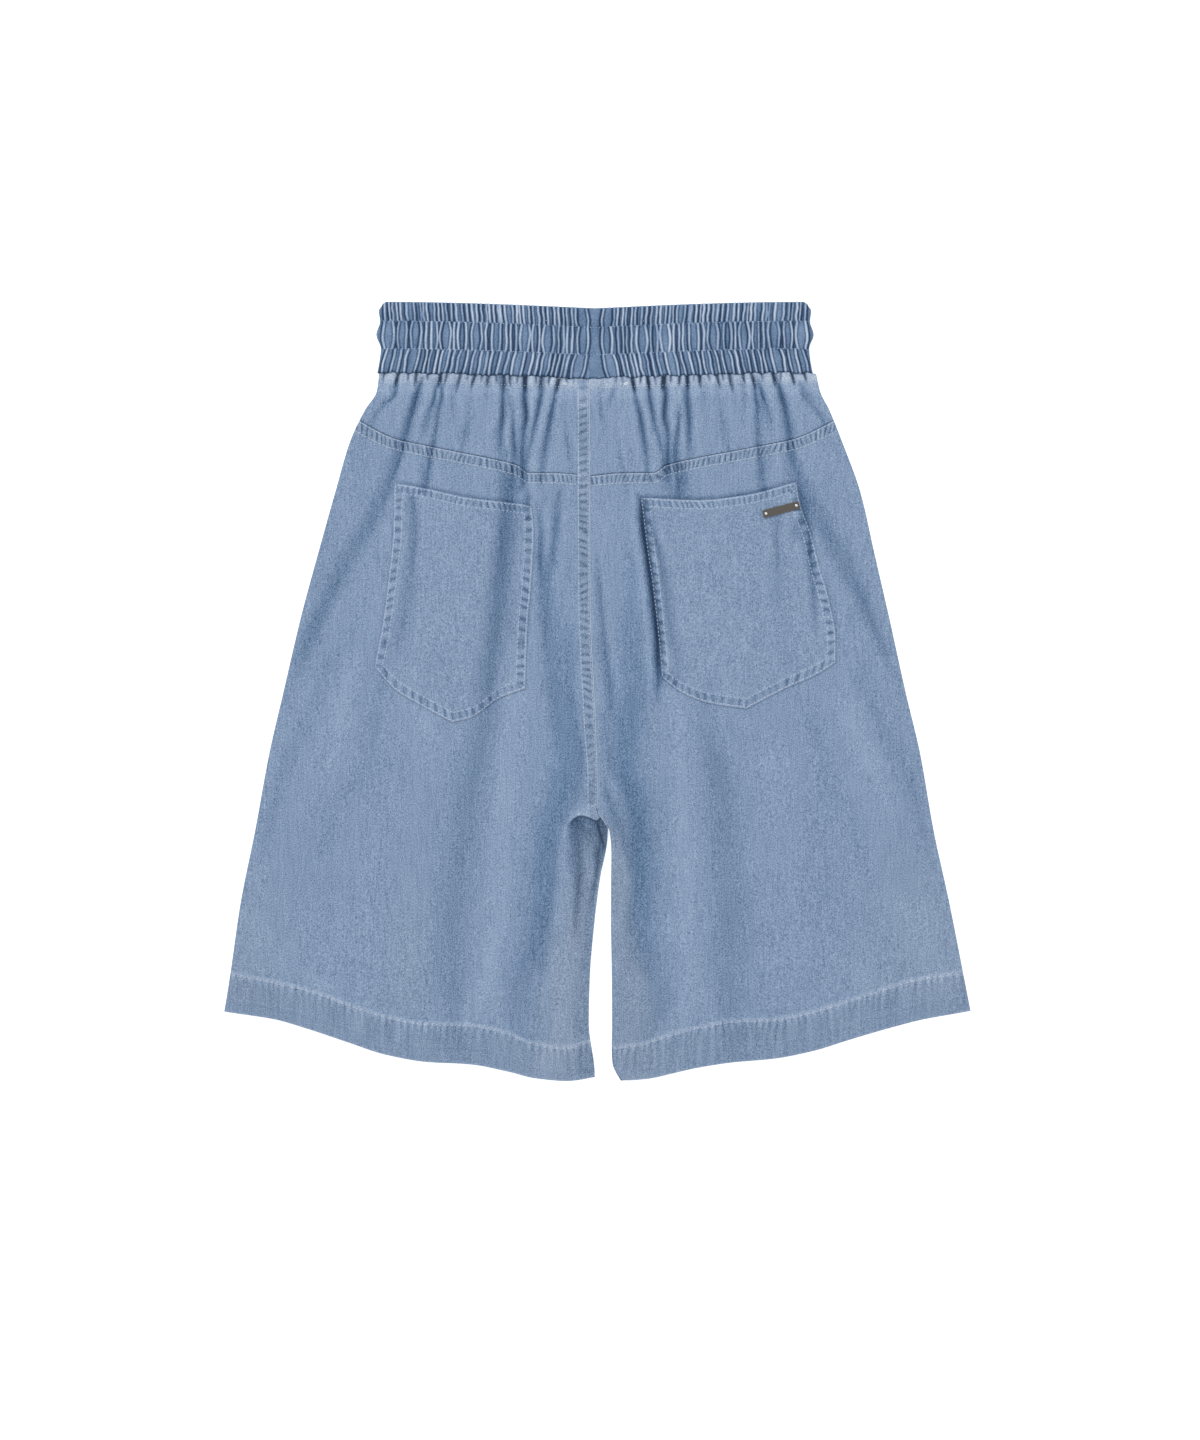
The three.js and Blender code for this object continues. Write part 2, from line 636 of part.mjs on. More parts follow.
const shorts = new THREE.Group();
shorts.add(piece("waistband_back", bandBack(), GATHERED_DENIM));
shorts.add(piece("waistband_front", bandFront(), GATHERED_DENIM));
for (const side of [LEFT, RIGHT]) {
  const name = sideName(side);
  shorts.add(piece("yoke_back_" + name, yokeBack(side), DENIM));
  shorts.add(piece("leg_back_" + name, legBack(side), DENIM));
  shorts.add(piece("hem_back_" + name, hemBack(side), HEM_DENIM));
  shorts.add(piece("pocket_" + name, pocket(side), DENIM));
  shorts.add(piece("leg_front_" + name, frontPlate(side, FRONT_LEVELS, yokeTop, legBottom), DENIM));
  shorts.add(piece("hem_front_" + name, frontPlate(side, [], hemTop, hemEdge), HEM_DENIM));
}
const plateGroup = plateFrame();
plateGroup.add(piece("label_plate", plate(), PLATE_METAL));
for (const side of [LEFT, RIGHT]) {
  const button = piece("plate_stud_" + sideName(side), stud(), STUD_METAL);
  button.position.set(side * (PLATE.length / 2 - STUD.inset), 0, PLATE.thickness + SEAM_GAP);
  plateGroup.add(button);
}
shorts.add(plateGroup);

export default shorts;
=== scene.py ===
# %% [markdown]
# # Denim shorts, laid flat with the back up
# A pair of wide-leg shorts in soft, washed denim: a gathered elastic waistband, a yoke, two back
# pockets, a small metal plate, felled seams and turned-up hems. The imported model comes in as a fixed
# frame of plain solids. This script dresses each of them: fine cloth on the same form, then thread,
# metal, light and a camera.

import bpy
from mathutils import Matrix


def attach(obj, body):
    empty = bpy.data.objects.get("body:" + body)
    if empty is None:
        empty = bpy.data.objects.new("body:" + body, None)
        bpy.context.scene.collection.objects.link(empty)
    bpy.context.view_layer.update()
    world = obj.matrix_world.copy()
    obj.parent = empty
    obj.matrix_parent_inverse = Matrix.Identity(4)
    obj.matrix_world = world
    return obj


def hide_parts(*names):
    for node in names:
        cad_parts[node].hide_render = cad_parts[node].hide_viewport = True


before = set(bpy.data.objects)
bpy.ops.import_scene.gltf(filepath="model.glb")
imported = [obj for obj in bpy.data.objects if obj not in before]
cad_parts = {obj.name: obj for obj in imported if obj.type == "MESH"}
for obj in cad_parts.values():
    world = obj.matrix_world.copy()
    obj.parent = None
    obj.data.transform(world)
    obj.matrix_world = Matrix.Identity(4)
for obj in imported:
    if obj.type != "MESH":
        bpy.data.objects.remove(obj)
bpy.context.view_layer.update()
print("nodes:", len(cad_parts))

# %% [markdown]
# ## Camera and studio
# The photo is taken straight down on shorts that lie flat, so the camera looks down from 2.4 m with a
# long lens, which keeps the perspective mild. The picture is 1152 mm tall, which sets the lens. The
# floor is a light table, whose lit finish comes near the end. Three broad lights and a pale world give
# the soft, nearly shadowless light of a studio.

# %% Camera, floor and lights
import math

import bpy
import numpy as np

MM = 0.001
PICTURE_TALL = 1152 * MM
CAMERA_HEIGHT = 2.4
SENSOR = 36.0
CLOTH_LEVEL = 5 * MM

scene = bpy.context.scene
scene.view_settings.view_transform = "Standard"

camera_data = bpy.data.cameras.new("camera")
camera_data.sensor_width = SENSOR
camera_data.lens = SENSOR * CAMERA_HEIGHT / PICTURE_TALL
camera = bpy.data.objects.new("camera", camera_data)
camera.location = (2 * MM, -22.8 * MM, CAMERA_HEIGHT + CLOTH_LEVEL)
scene.collection.objects.link(camera)
scene.camera = camera
print("lens:", round(camera_data.lens, 1), "mm")

bpy.ops.object.select_all(action="DESELECT")
bpy.ops.mesh.primitive_plane_add(size=8, location=(0, 0, -0.2 * MM))
floor = bpy.context.object
floor.name = "floor"
bpy.ops.object.transform_apply(location=True, rotation=True, scale=True)

LIGHTS = {
    "key": {"place": (-0.9, 1.5, 2.2), "size": 1.6, "watts": 30},
    "fill": {"place": (1.4, 0.2, 2.0), "size": 2.2, "watts": 12},
    "low": {"place": (-0.3, -1.8, 1.6), "size": 2.0, "watts": 9},
}
for name, light in LIGHTS.items():
    data = bpy.data.lights.new(name, "AREA")
    data.size = light["size"]
    data.energy = light["watts"]
    lamp = bpy.data.objects.new(name, data)
    lamp.location = light["place"]
    lamp.rotation_euler = (-lamp.location).to_track_quat("-Z", "Y").to_euler()
    scene.collection.objects.link(lamp)

WORLD_STRENGTH = 0.55
world = bpy.data.worlds.new("studio")
world.use_nodes = True
world.node_tree.nodes["Background"].inputs["Color"].default_value = (1, 1, 1, 1)
world.node_tree.nodes["Background"].inputs["Strength"].default_value = WORLD_STRENGTH
scene.world = world

# %% [markdown]
# ## The cloth's lines
# Every panel is cut to lines that the photo shows: the side seams, the centre seam and the gap between
# the legs, the yoke seam and the hems. Each line is a short table in millimetres, the same one that the
# solids are made from, and a smooth curve is read from it. The curve never overshoots its table, so a
# panel keeps the place that its solid has.

# %% Lines of the pattern
LEFT, RIGHT = -1, 1
SIDE_NAMES = {LEFT: "left", RIGHT: "right"}
MIDDLE = -2.0
SEAM_GAP = 0.3

# y, left, right
SIDE_SEAM = [
    (256, -174.8, 174.8), (240, -177, 178.5), (226, -186, 185.5), (200, -198.3, 196),
    (160, -210, 210.5), (110, -224, 222), (60, -237.5, 233.5), (0, -251.5, 246.7),
    (-50, -263, 258.5), (-110, -274, 269), (-170, -286, 282), (-230, -294.7, 293.8),
    (-257, -299.1, 299.1),
]
# y, middle of the gap, width of the gap
CENTRE = [
    (256, -6.6, 0.3), (73, -6, 0.3), (-29, -1.6, 0.3), (-70, -0.4, 0.3), (-94, -0.4, 0.3),
    (-103, 4, 0.3), (-110, 8.85, 1.1), (-120, 9.2, 2.8), (-150, 6.4, 8.8), (-190, 3.9, 13.8),
    (-230, 2.6, 17.6), (-265, 2.3, 18.6), (-298, 4.6, 14.8), (-312, 8.3, 20.6),
]
# distance out from the middle, y
YOKE_SEAM = [
    (0, 171.8), (26, 174.8), (49, 175.2), (58, 181.2), (80, 186.8), (125, 196), (155, 202.6),
    (190, 217.5),
]
# distance out, left fold, left edge, right fold, right edge
HEM = [
    (8, -279.2, -309, -284.4, -311.8), (30, -284.4, -311.8, -282, -310.2),
    (55, -280.5, -309.5, -273.8, -305.5), (75, -271.6, -304.4, -268.6, -301.4),
    (105, -266, -298.5, -263.2, -297), (138, -265, -296.6, -261.8, -294),
    (170, -259, -290.8, -255.4, -287.8), (200, -249.3, -280.6, -246.6, -278.6),
    (230, -239, -270.3, -237.4, -269.8), (258, -232.4, -262.2, -229.6, -262.6),
    (297, -225.2, -256.4, -224.2, -255.8),
]


def smooth_line(rows, column):
    """A smooth curve through one column of a table, keyed by the table's first column."""
    table = np.array(sorted(rows), float)
    keys, values = table[:, 0], table[:, column]
    step = np.diff(values) / np.diff(keys)
    slope = np.concatenate([step[:1], np.zeros(len(step) - 1), step[-1:]])
    for k in range(1, len(step)):
        if step[k - 1] * step[k] > 0:
            slope[k] = 2 * step[k - 1] * step[k] / (step[k - 1] + step[k])

    def at(place):
        place = np.clip(place, keys[0], keys[-1])
        i = np.clip(np.searchsorted(keys, place) - 1, 0, len(step) - 1)
        span = keys[i + 1] - keys[i]
        t = (place - keys[i]) / span
        change = values[i + 1] - values[i]
        leave, arrive = slope[i] * span, slope[i + 1] * span
        square, cube = 3 * change - 2 * leave - arrive, leave + arrive - 2 * change
        return values[i] + t * (leave + t * (square + t * cube))

    return at


side_lines = {LEFT: smooth_line(SIDE_SEAM, 1), RIGHT: smooth_line(SIDE_SEAM, 2)}
centre_line, centre_gap = smooth_line(CENTRE, 1), smooth_line(CENTRE, 2)
yoke_line = smooth_line(YOKE_SEAM, 1)
hem_folds = {LEFT: smooth_line(HEM, 1), RIGHT: smooth_line(HEM, 3)}
hem_edges = {LEFT: smooth_line(HEM, 2), RIGHT: smooth_line(HEM, 4)}


def side_edge(side, y):
    return side_lines[side](y)


def inner_edge(side, y):
    return centre_line(y) + side * centre_gap(y) / 2


def band_bottom(side, across):
    return 250 + 5 * np.sin(math.pi / 2 * np.clip(across, 0, 1))


def yoke_seam(side, across):
    return yoke_line(4 + 185 * across)


def hem_fold(side, across):
    return hem_folds[side](8 + 289 * across)


def hem_edge(side, across):
    return hem_edges[side](8 + 289 * across)


print("side seams at the hem:", side_edge(LEFT, -257), side_edge(RIGHT, -257))

# %% [markdown]
# ## Small random changes
# Nothing sewn is quite regular, so spacings, depths and shades wander a little. The wander is worked
# out from a number and a place, with no random generator, so that each run gives the same cloth.

# %% Wander and steps
def chance(seed, i, j=0.0):
    """A repeatable number from -1 to 1 for a whole place."""
    turn = np.sin(i * 12.9898 + j * 78.233 + seed * 37.719) * 43758.5453
    return 2 * (turn - np.floor(turn)) - 1


def ease(value, low, high):
    """0 below low, 1 above high, smooth between."""
    t = np.clip((value - low) / (high - low), 0, 1)
    return t * t * (3 - 2 * t)


def wander(seed, place):
    """A smooth line through chance numbers one unit apart."""
    cell = np.floor(place)
    t = ease(place - cell, 0, 1)
    return chance(seed, cell) * (1 - t) + chance(seed, cell + 1) * t


def wander_over(seed, x, y):
    """A smooth surface through chance numbers one unit apart."""
    i, j = np.floor(x), np.floor(y)
    s, t = ease(x - i, 0, 1), ease(y - j, 0, 1)
    low = chance(seed, i, j) * (1 - s) + chance(seed, i + 1, j) * s
    high = chance(seed, i, j + 1) * (1 - s) + chance(seed, i + 1, j + 1) * s
    return low * (1 - t) + high * t


def bell(offset, width):
    return np.exp(-((offset / width) ** 2))


print("wander:", np.round(wander(1, np.arange(0, 2, 0.5)), 2))

# %% [markdown]
# ## The drape
# The front panels lie flat and the back lies on them, standing a few millimetres off in the middle of
# each leg. From the gathers at the waist, folds run down over the seat. Most open out in the leg, and
# two on each side go on to the hem. Every fold is listed as a row of places down its length, with
# its width on each side and its dip there, because no two are alike. One side of a fold is often
# sharper than the other. Close to the inner legs the cloth looks greyer, and in the folds bluer.
# The dip sinks the cloth and also darkens its colour as painted shade, a dip below zero lightens it as a
# painted highlight, and in the folds the painted shade is bluer.

# %% Folds and the height of the cloth
CLOTH = 1.3
BACK_REST = 1.5
CROWN = 2.2
MOST_RISE = 3.7
FOLD_DEPTH = 7.0
SIDE_RUN, INSEAM_RUN = 20, 13

# x, y, width to the left and to the right, and dip in hundredths, which also darkens the colour
# as painted shade (below zero it is a ridge, lightened as a painted highlight)
FOLDS = [
    # Left, from the outside in
    [(-160.4, 249.2, 2.4, 2.4, 21), (-162.4, 237.2, 4, 2.4, 37), (-171.2, 229.2, 4, 3.2, 16),
     (-177.6, 221.2, 4, 3.2, 16), (-184, 207.6, 4, 4, 9), (-190, 193.2, 4.8, 4.8, 4),
     (-194, 181.2, 4.8, 4.8, 0)],
    [(-140.4, 250.8, 2.4, 2.4, 40), (-144.8, 237.2, 3.2, 3.2, 48), (-149.2, 221.2, 4, 3.2, 38),
     (-154, 205.2, 4.8, 4, 36), (-158.4, 189.2, 5.6, 3.6, 36), (-165.2, 169.2, 8, 4, 28),
     (-171.6, 153.2, 8.8, 4.8, 28), (-185.2, 129.2, 7.2, 7.2, 29), (-200.4, 105.2, 9.6, 9.6, 22),
     (-216.4, 73.2, 7.2, 7.2, 31), (-231.2, 41.2, 7.2, 7.2, 30), (-242.8, 9.2, 5.6, 5.6, 9),
     (-250.8, -18.8, 4, 4, 0)],
    [(-182, 81.2, 8, 8, 0), (-202, 41.2, 8, 8, 6), (-218, 9.2, 8, 8, 10),
     (-231.6, -22.8, 8, 8, 9), (-247.6, -54.8, 7.2, 7.2, 13), (-258, -86.8, 6.4, 6.4, 11),
     (-265.2, -117.2, 4.8, 4.8, 8), (-273.2, -142.8, 4, 4, 0)],
    [(-125.2, 250.8, 2, 2, 30), (-124.8, 237.2, 2, 2, 38), (-128, 221.2, 2.8, 2.8, 27),
     (-130, 205.2, 2.8, 3.2, 21), (-133.6, 189.2, 4.8, 2.8, 33), (-137.2, 169.2, 4.8, 4, 31),
     (-138.8, 159.6, 4, 3.2, 18), (-140.4, 154.8, 3.2, 3.2, 0)],
    [(-129.2, 250.8, 1.6, 1.6, 18), (-130.2, 237.2, 1.8, 1.8, 46), (-135.2, 221.2, 3.2, 3.2, 20),
     (-140, 205.2, 4, 4, 11), (-145.2, 193.2, 4, 4, 0)],
    [(-149.2, 159.6, 3.2, 3.2, 11), (-148.4, 153.2, 4, 4, 22), (-146.8, 129.2, 4.4, 4.4, 20),
     (-148.4, 105.2, 4.4, 4.4, 24), (-151.6, 73.2, 7.2, 5.6, 19), (-158.8, 41.2, 8, 8, 17),
     (-164.4, 17.2, 8, 8, 0)],
    [(-114, 250.8, 2, 2, 12), (-116, 237.2, 2, 2, 11), (-116.8, 221.2, 4, 4, 7),
     (-118.4, 209.2, 4, 4, 0)],
    [(-99.2, 245.2, 2, 2, 0), (-102.4, 229.2, 2.4, 2.4, 7), (-102.4, 221.2, 3.2, 3.2, 11),
     (-106.8, 205.2, 4, 4, 17), (-109.2, 189.2, 3.2, 3.2, 7), (-110.8, 177.2, 3.2, 3.2, 0)],
    [(-87.6, 250.8, 2.4, 2.4, 9), (-88.8, 237.2, 3.2, 3.2, 11), (-90.4, 226.8, 3.2, 3.2, 0)],
    [(-78, 252.4, 2.4, 2.4, 35), (-76, 237.2, 2.4, 2.4, 42), (-76, 221.2, 2.4, 2.8, 46),
     (-77.6, 205.2, 4.8, 2.8, 32), (-78, 189.2, 3.2, 4, 16), (-78, 169.2, 4.8, 4.8, 12),
     (-78, 157.2, 4.8, 4.8, 0)],
    [(-73.2, 249.2, 2, 2, 9), (-71.2, 237.2, 2, 2, 16), (-68, 221.2, 2, 2.4, 22),
     (-67.4, 205.2, 2.4, 2.4, 41), (-66.4, 189.2, 3.6, 3.2, 41), (-67.6, 178.8, 4, 4, 26),
     (-68.4, 170.8, 4, 4, 0)],
    [(-58.8, 252.4, 2.4, 2.4, 49), (-58.6, 237.2, 2.4, 2.4, 56), (-56.8, 221.2, 3.6, 2, 53),
     (-59.2, 205.2, 3.6, 2.8, 35), (-60.4, 189.2, 2.8, 3.2, 42), (-59.6, 169.2, 4, 4, 31),
     (-62.8, 157.2, 4, 4, 0)],
    [(-68.4, 183.6, 4.8, 4, 0), (-69.2, 169.2, 6.4, 4.8, 56), (-71.6, 153.2, 7.2, 8, 41),
     (-75.6, 129.2, 4.8, 11.2, 46), (-76.4, 105.2, 7.2, 7.2, 47), (-79.6, 73.2, 8, 9.6, 37),
     (-82.8, 41.2, 8.8, 9.6, 33), (-87.6, 9.2, 8.8, 8, 33), (-89.2, -22.8, 9.6, 10.4, 23),
     (-96.4, -54.8, 12.8, 12, 23), (-103.6, -86.8, 12, 14.4, 20),
     (-107.6, -118.8, 15.2, 14.4, 18), (-113.2, -150.8, 13.6, 13.6, 18),
     (-116.4, -182.8, 14.4, 10.4, 18), (-115.6, -214.8, 14.4, 13.6, 13),
     (-112.4, -238.8, 16, 4.8, 17), (-113.2, -258.8, 11.2, 3.2, 13),
     (-111.6, -278.8, 11.2, 6.4, 12), (-110, -302.8, 9.6, 6.4, 7)],
    [(-42.8, 250.8, 2.4, 2.4, 31), (-45.2, 237.2, 2.8, 2.4, 44), (-48.6, 221.2, 2.4, 2.4, 41),
     (-52, 205.2, 2.8, 2.4, 29), (-55.6, 189.2, 3.2, 3.2, 18), (-58.8, 173.2, 3.2, 3.2, 7),
     (-60.4, 162.8, 3.2, 3.2, 0)],
    [(-33.2, 247.6, 2, 2, 18), (-34.4, 237.2, 2, 2, 32), (-37.2, 221.2, 2.8, 2.4, 46),
     (-40.4, 205.2, 2.8, 3.6, 35), (-42.8, 189.2, 3.6, 3.2, 25), (-45.2, 169.2, 2.4, 2.4, 16),
     (-46, 157.2, 2.4, 2.4, 0)],
    [(-27.6, 229.2, 2.4, 2.4, 4), (-25.2, 209.2, 2.4, 2.4, 7), (-22.8, 189.2, 2.4, 2.4, 16),
     (-22, 177.2, 2.4, 2.4, 7), (-22, 165.2, 2.4, 2.4, 0)],
    [(-29.2, 165.2, 3.2, 3.2, 7), (-31.6, 153.2, 3.6, 3.6, 16), (-34, 129.2, 3.2, 4, 19),
     (-36.8, 105.2, 3.2, 4, 21), (-38.8, 85.2, 3.2, 3.2, 5), (-39.6, 73.2, 3.2, 3.2, 0)],
    [(-72.8, 197.2, 2.4, 2.4, 0), (-73.2, 189.2, 3.2, 3.2, 21), (-73.2, 182.8, 3.2, 3.2, 0)],
    [(-42, 159.6, 2.4, 2.4, 0), (-42, 153.2, 3.2, 3.2, 8), (-42.8, 143.6, 3.2, 3.2, 0)],
    [(-169.2, 141.2, 4, 4, 0), (-169.2, 129.2, 4.8, 4.8, -12), (-170.8, 113.2, 4, 4, 0)],
    [(-57.2, 165.2, 4, 2.4, 0), (-55.2, 154.8, 4, 2.4, 24), (-55.2, 145.2, 4, 2.4, 14),
     (-55.6, 135.6, 3.2, 2.4, 0)],
    [(-49.2, 150.8, 2.4, 2.4, 9), (-45.2, 129.2, 2.8, 2.8, 21), (-45.6, 105.2, 3.6, 3.6, 33),
     (-42, 73.2, 5.6, 7.2, 27), (-40.4, 41.2, 4, 9.6, 22), (-37.2, 9.2, 6.4, 11.2, 20),
     (-32.4, -22.8, 7.2, 11.2, 21), (-25.2, -54.8, 12, 9.6, 21), (-28.4, -86.8, 14.4, 11.2, 27),
     (-37.2, -118.8, 15.2, 9.6, 26), (-37.2, -150.8, 16.8, 5.6, 30),
     (-40.4, -182.8, 16.8, 5.2, 29), (-54, -214.8, 12, 12.8, 21), (-65.2, -238.8, 8.8, 19.2, 15),
     (-67.6, -258.8, 5.6, 22.4, 15), (-61.2, -278.8, 4.8, 20, 11), (-55.6, -290.8, 4.8, 16, 0)],
    [(-25.2, 57.2, 6.4, 4.8, 0), (-22, 41.2, 7.2, 5.6, 19), (-22, 9.2, 7.2, 5.6, 14),
     (-18.8, -22.8, 7.2, 5.6, 19), (-13.2, -54.8, 6.4, 3.6, 22), (-16.4, -78.8, 7.2, 6.4, 14),
     (-18, -94.8, 6.4, 6.4, 6), (-20.4, -106.8, 6.4, 6.4, 0)],
    [(-41.2, -194.8, 4, 3.2, 0), (-43.6, -214.8, 4.8, 3.6, 11), (-45.2, -234.8, 4.8, 4, 4),
     (-47.6, -246.8, 4.8, 4.8, 0)],
    [(-4.4, -149.2, 3.2, 3.2, 7), (-6, -166.8, 5.6, 5.6, 17), (-7.6, -186.8, 7.2, 6.4, 23),
     (-9.2, -214.8, 11.2, 6.4, 20), (-10.8, -238.8, 8.8, 6.4, 18), (-11.6, -258.8, 8.8, 6.4, 18),
     (-10.8, -278.8, 8.8, 6.4, 17), (-9.2, -306.8, 8.8, 6.4, 14)],
    [(-26, -109.2, 3.2, 3.2, -11), (-28.4, -134.8, 4, 4, -12), (-31.6, -166.8, 4.8, 4.8, -7),
     (-34, -198.8, 5.6, 5.6, 0)],
    [(-191.6, -42.8, 6.4, 6.4, 0), (-194, -66.8, 6.4, 6.4, 6), (-207.6, -94.8, 7.2, 7.2, 7),
     (-217.2, -118.8, 7.2, 7.2, 6), (-225.2, -142.8, 7.2, 7.2, 0)],
    [(-167.6, 41.2, 7.2, 7.2, 0), (-172.4, 1.2, 8, 8, 7), (-178.8, -30.8, 8.8, 8.8, 8),
     (-182, -62.8, 9.6, 9.6, 5), (-175.6, -110.8, 9.6, 9.6, 3), (-174, -166.8, 9.6, 9.6, 3),
     (-174, -214.8, 9.6, 9.6, 0)],
    [(-196.4, 41.2, 11.2, 11.2, 0), (-201.2, 9.2, 11.2, 11.2, -11),
     (-207.6, -22.8, 11.2, 11.2, -11), (-214, -54.8, 11.2, 11.2, -7),
     (-220.4, -86.8, 11.2, 11.2, 0)],
    [(-138, 1.2, 11.2, 11.2, 0), (-135.6, -22.8, 11.2, 11.2, -12), (-134, -54.8, 9.6, 9.6, -5),
     (-134, -86.8, 9.6, 9.6, 0)],
    [(-282, -166.8, 14.4, 14.4, 0), (-268.4, -198.8, 17.6, 17.6, -7),
     (-246, -222.8, 17.6, 17.6, -7), (-218, -234.8, 14.4, 12.8, -14),
     (-214, -246.8, 11.2, 11.2, 0)],
    [(-62, 41.2, 7.2, 7.2, -5), (-66.8, -6.8, 9.6, 9.6, -9), (-71.6, -54.8, 11.2, 11.2, -11),
     (-74.8, -102.8, 11.2, 11.2, -12), (-76.4, -150.8, 11.2, 11.2, -12),
     (-82, -198.8, 11.2, 11.2, -12), (-89.2, -238.8, 9.6, 9.6, -12),
     (-91.6, -262.8, 8.8, 8.8, -7)],
    # Right, from the inside out
    [(-0.4, 109.2, 2, 2, 8), (2.8, 73.2, 4.8, 2.4, 24), (4.8, 41.2, 4.8, 3.2, 24),
     (8.8, 9.2, 5.6, 3.6, 26), (11.6, -14.8, 4, 4, 11), (14.8, -34.8, 3.2, 3.2, 0)],
    [(5.2, 1.2, 4, 4, 0), (6, -22.8, 4.8, 4, 10), (8.4, -54.8, 4.8, 4, 9), (10, -74.8, 4, 4, 0)],
    [(14.8, 249.2, 2, 2, 12), (11.6, 237.2, 2.4, 2.4, 25), (10, 229.2, 2.4, 2.4, 5),
     (8.4, 223.6, 2.4, 2.4, 0)],
    [(2.8, 245.2, 2.4, 2.4, 5), (2.4, 237.2, 2.4, 2.4, 11), (3.6, 221.2, 2.4, 2.4, 19),
     (5.2, 209.2, 2.4, 2.4, 5), (6.8, 201.2, 2.4, 2.4, 0)],
    [(15.6, 209.2, 2.4, 2.4, 0), (18, 189.2, 2.4, 2.4, 12), (21.2, 173.2, 2.4, 2.4, 11),
     (24.4, 157.2, 2.4, 2.4, 0)],
    [(23.6, 129.2, 3.2, 4.8, 0), (26, 105.2, 6.4, 6.4, 8), (29.2, 73.2, 9.6, 8, 11),
     (29.2, 41.2, 12.8, 11.2, 16), (29.2, 9.2, 11.2, 12, 17), (25.2, -22.8, 14.4, 16, 24),
     (18.4, -54.8, 11.2, 14.4, 27), (26.8, -86.8, 7.2, 15.2, 37), (31.6, -118.8, 8, 15.2, 39),
     (32, -150.8, 6.4, 15.2, 36), (28.4, -182.8, 6.4, 16.8, 32), (36.4, -214.8, 12, 14.4, 23),
     (46.8, -234.8, 11.2, 10.4, 15), (52.4, -249.2, 12.8, 7.2, 17),
     (47.6, -262.8, 11.2, 6.4, 15), (40.4, -278.8, 9.6, 5.6, 11), (34, -290.8, 6.4, 4.8, 0)],
    [(4.4, -70.8, 3.2, 3.2, 7), (7.6, -82.8, 4, 4.8, 21), (10.8, -90.8, 4.8, 5.6, 25),
     (15.6, -106.8, 5.6, 6.4, 32), (19.6, -120.4, 6.4, 6.4, 30), (25.2, -134.8, 5.6, 4.8, 12),
     (28.4, -150.8, 4.8, 4.8, 0)],
    [(16.4, -122.8, 9.6, 8, 0), (16.4, -150.8, 9.6, 8, 9), (18, -182.8, 11.2, 9.6, 4),
     (19.6, -214.8, 12.8, 11.2, 7), (26, -238.8, 16, 14.4, 11), (27.6, -258.8, 17.6, 14.4, 10),
     (30, -302.8, 17.6, 16, 7)],
    [(28.4, 247.6, 2, 2, 22), (30, 237.2, 2, 2, 30), (34, 221.2, 2.4, 2.8, 44),
     (36.8, 205.2, 3.6, 2.4, 37), (38.8, 189.2, 3.2, 3.2, 25), (40.4, 169.2, 2.4, 2.4, 16),
     (41.2, 157.2, 2.4, 2.4, 0)],
    [(40.4, 249.2, 2, 2, 35), (41.6, 237.2, 2.4, 2.4, 44), (44.4, 221.2, 2.8, 2.8, 35),
     (48, 205.2, 3.2, 2.8, 23), (52.4, 189.2, 3.2, 3.2, 22), (54, 177.2, 4, 4, 13),
     (56.4, 165.2, 4, 4, 0)],
    [(54, 252.4, 2, 2, 49), (54.4, 237.2, 2.4, 2.4, 56), (53.2, 221.2, 2.2, 2.8, 55),
     (56.4, 205.2, 3.6, 2.8, 31), (56.4, 189.2, 2.4, 2.4, 43), (56.4, 169.2, 5.6, 4, 35),
     (57.2, 156.4, 4.8, 4, 9), (57.2, 152.4, 4.8, 4, 0)],
    [(65.2, 229.2, 2.4, 2.4, 9), (65.4, 221.2, 2.4, 2.4, 26), (63.6, 205.2, 2.4, 2.4, 34),
     (62.4, 189.2, 3.6, 3.6, 38), (65.6, 169.2, 3.6, 6.4, 49), (66, 156.4, 4.8, 6.4, 31),
     (66.8, 152.4, 4, 4.8, 0)],
    [(71.6, 252.4, 2, 2, 31), (72, 237.2, 3.6, 2.4, 41), (72.7, 221.2, 2.8, 2.8, 43),
     (73.6, 205.2, 2.8, 2.8, 32), (73.2, 189.2, 4, 3.2, 16), (71.6, 177.2, 4, 4, 6),
     (70.8, 169.2, 4, 4, 0)],
    [(32.4, 159.6, 2.4, 2.4, 0), (34.8, 153.2, 3.2, 5.6, 43), (35.6, 143.6, 3.6, 3.6, 59),
     (36.9, 129.2, 3.4, 3.4, 69), (40.4, 105.2, 3.3, 3.4, 67), (44.4, 73.2, 3.6, 3.2, 67),
     (47.9, 41.2, 3.5, 3.4, 66), (48.4, 25.2, 3.6, 3.6, 59), (49.2, 9.2, 3.6, 3.6, 34),
     (48.4, -2.8, 3.2, 3.2, 14), (47.6, -11.6, 2.8, 2.8, 0)],
    [(41.2, 149.2, 3.2, 3.2, 9), (44.4, 129.2, 2.4, 2.4, 32), (50, 105.2, 3.2, 4.8, 25),
     (54.4, 73.2, 5.6, 5.6, 29), (58.8, 41.2, 7.2, 6.4, 23), (62.8, 29.2, 5.6, 5.6, 13),
     (67.6, 13.2, 4.8, 4.8, 0)],
    [(56.4, 25.2, 6.4, 6.4, 0), (59.6, 9.2, 6.4, 8, 20), (62, -2.8, 6.4, 8, 0)],
    [(90, 18.8, 5.6, 5.6, 0), (90, 6, 8, 8, 9), (86.8, -10.8, 9.6, 9.6, 9),
     (86, -22.8, 9.6, 9.6, 9), (94.8, -54.8, 11.2, 9.6, 22), (99.6, -86.8, 13.6, 13.6, 20),
     (102.8, -118.8, 16, 13.6, 18), (104.4, -150.8, 17.6, 15.2, 17),
     (106.8, -182.8, 19.2, 16, 19), (103.6, -214.8, 16, 19.2, 13), (99.6, -238.8, 6.4, 20.8, 15),
     (101.2, -258.8, 5.6, 17.6, 14), (104.4, -278.8, 6.4, 17.6, 10), (104.4, -302.8, 8, 16, 7)],
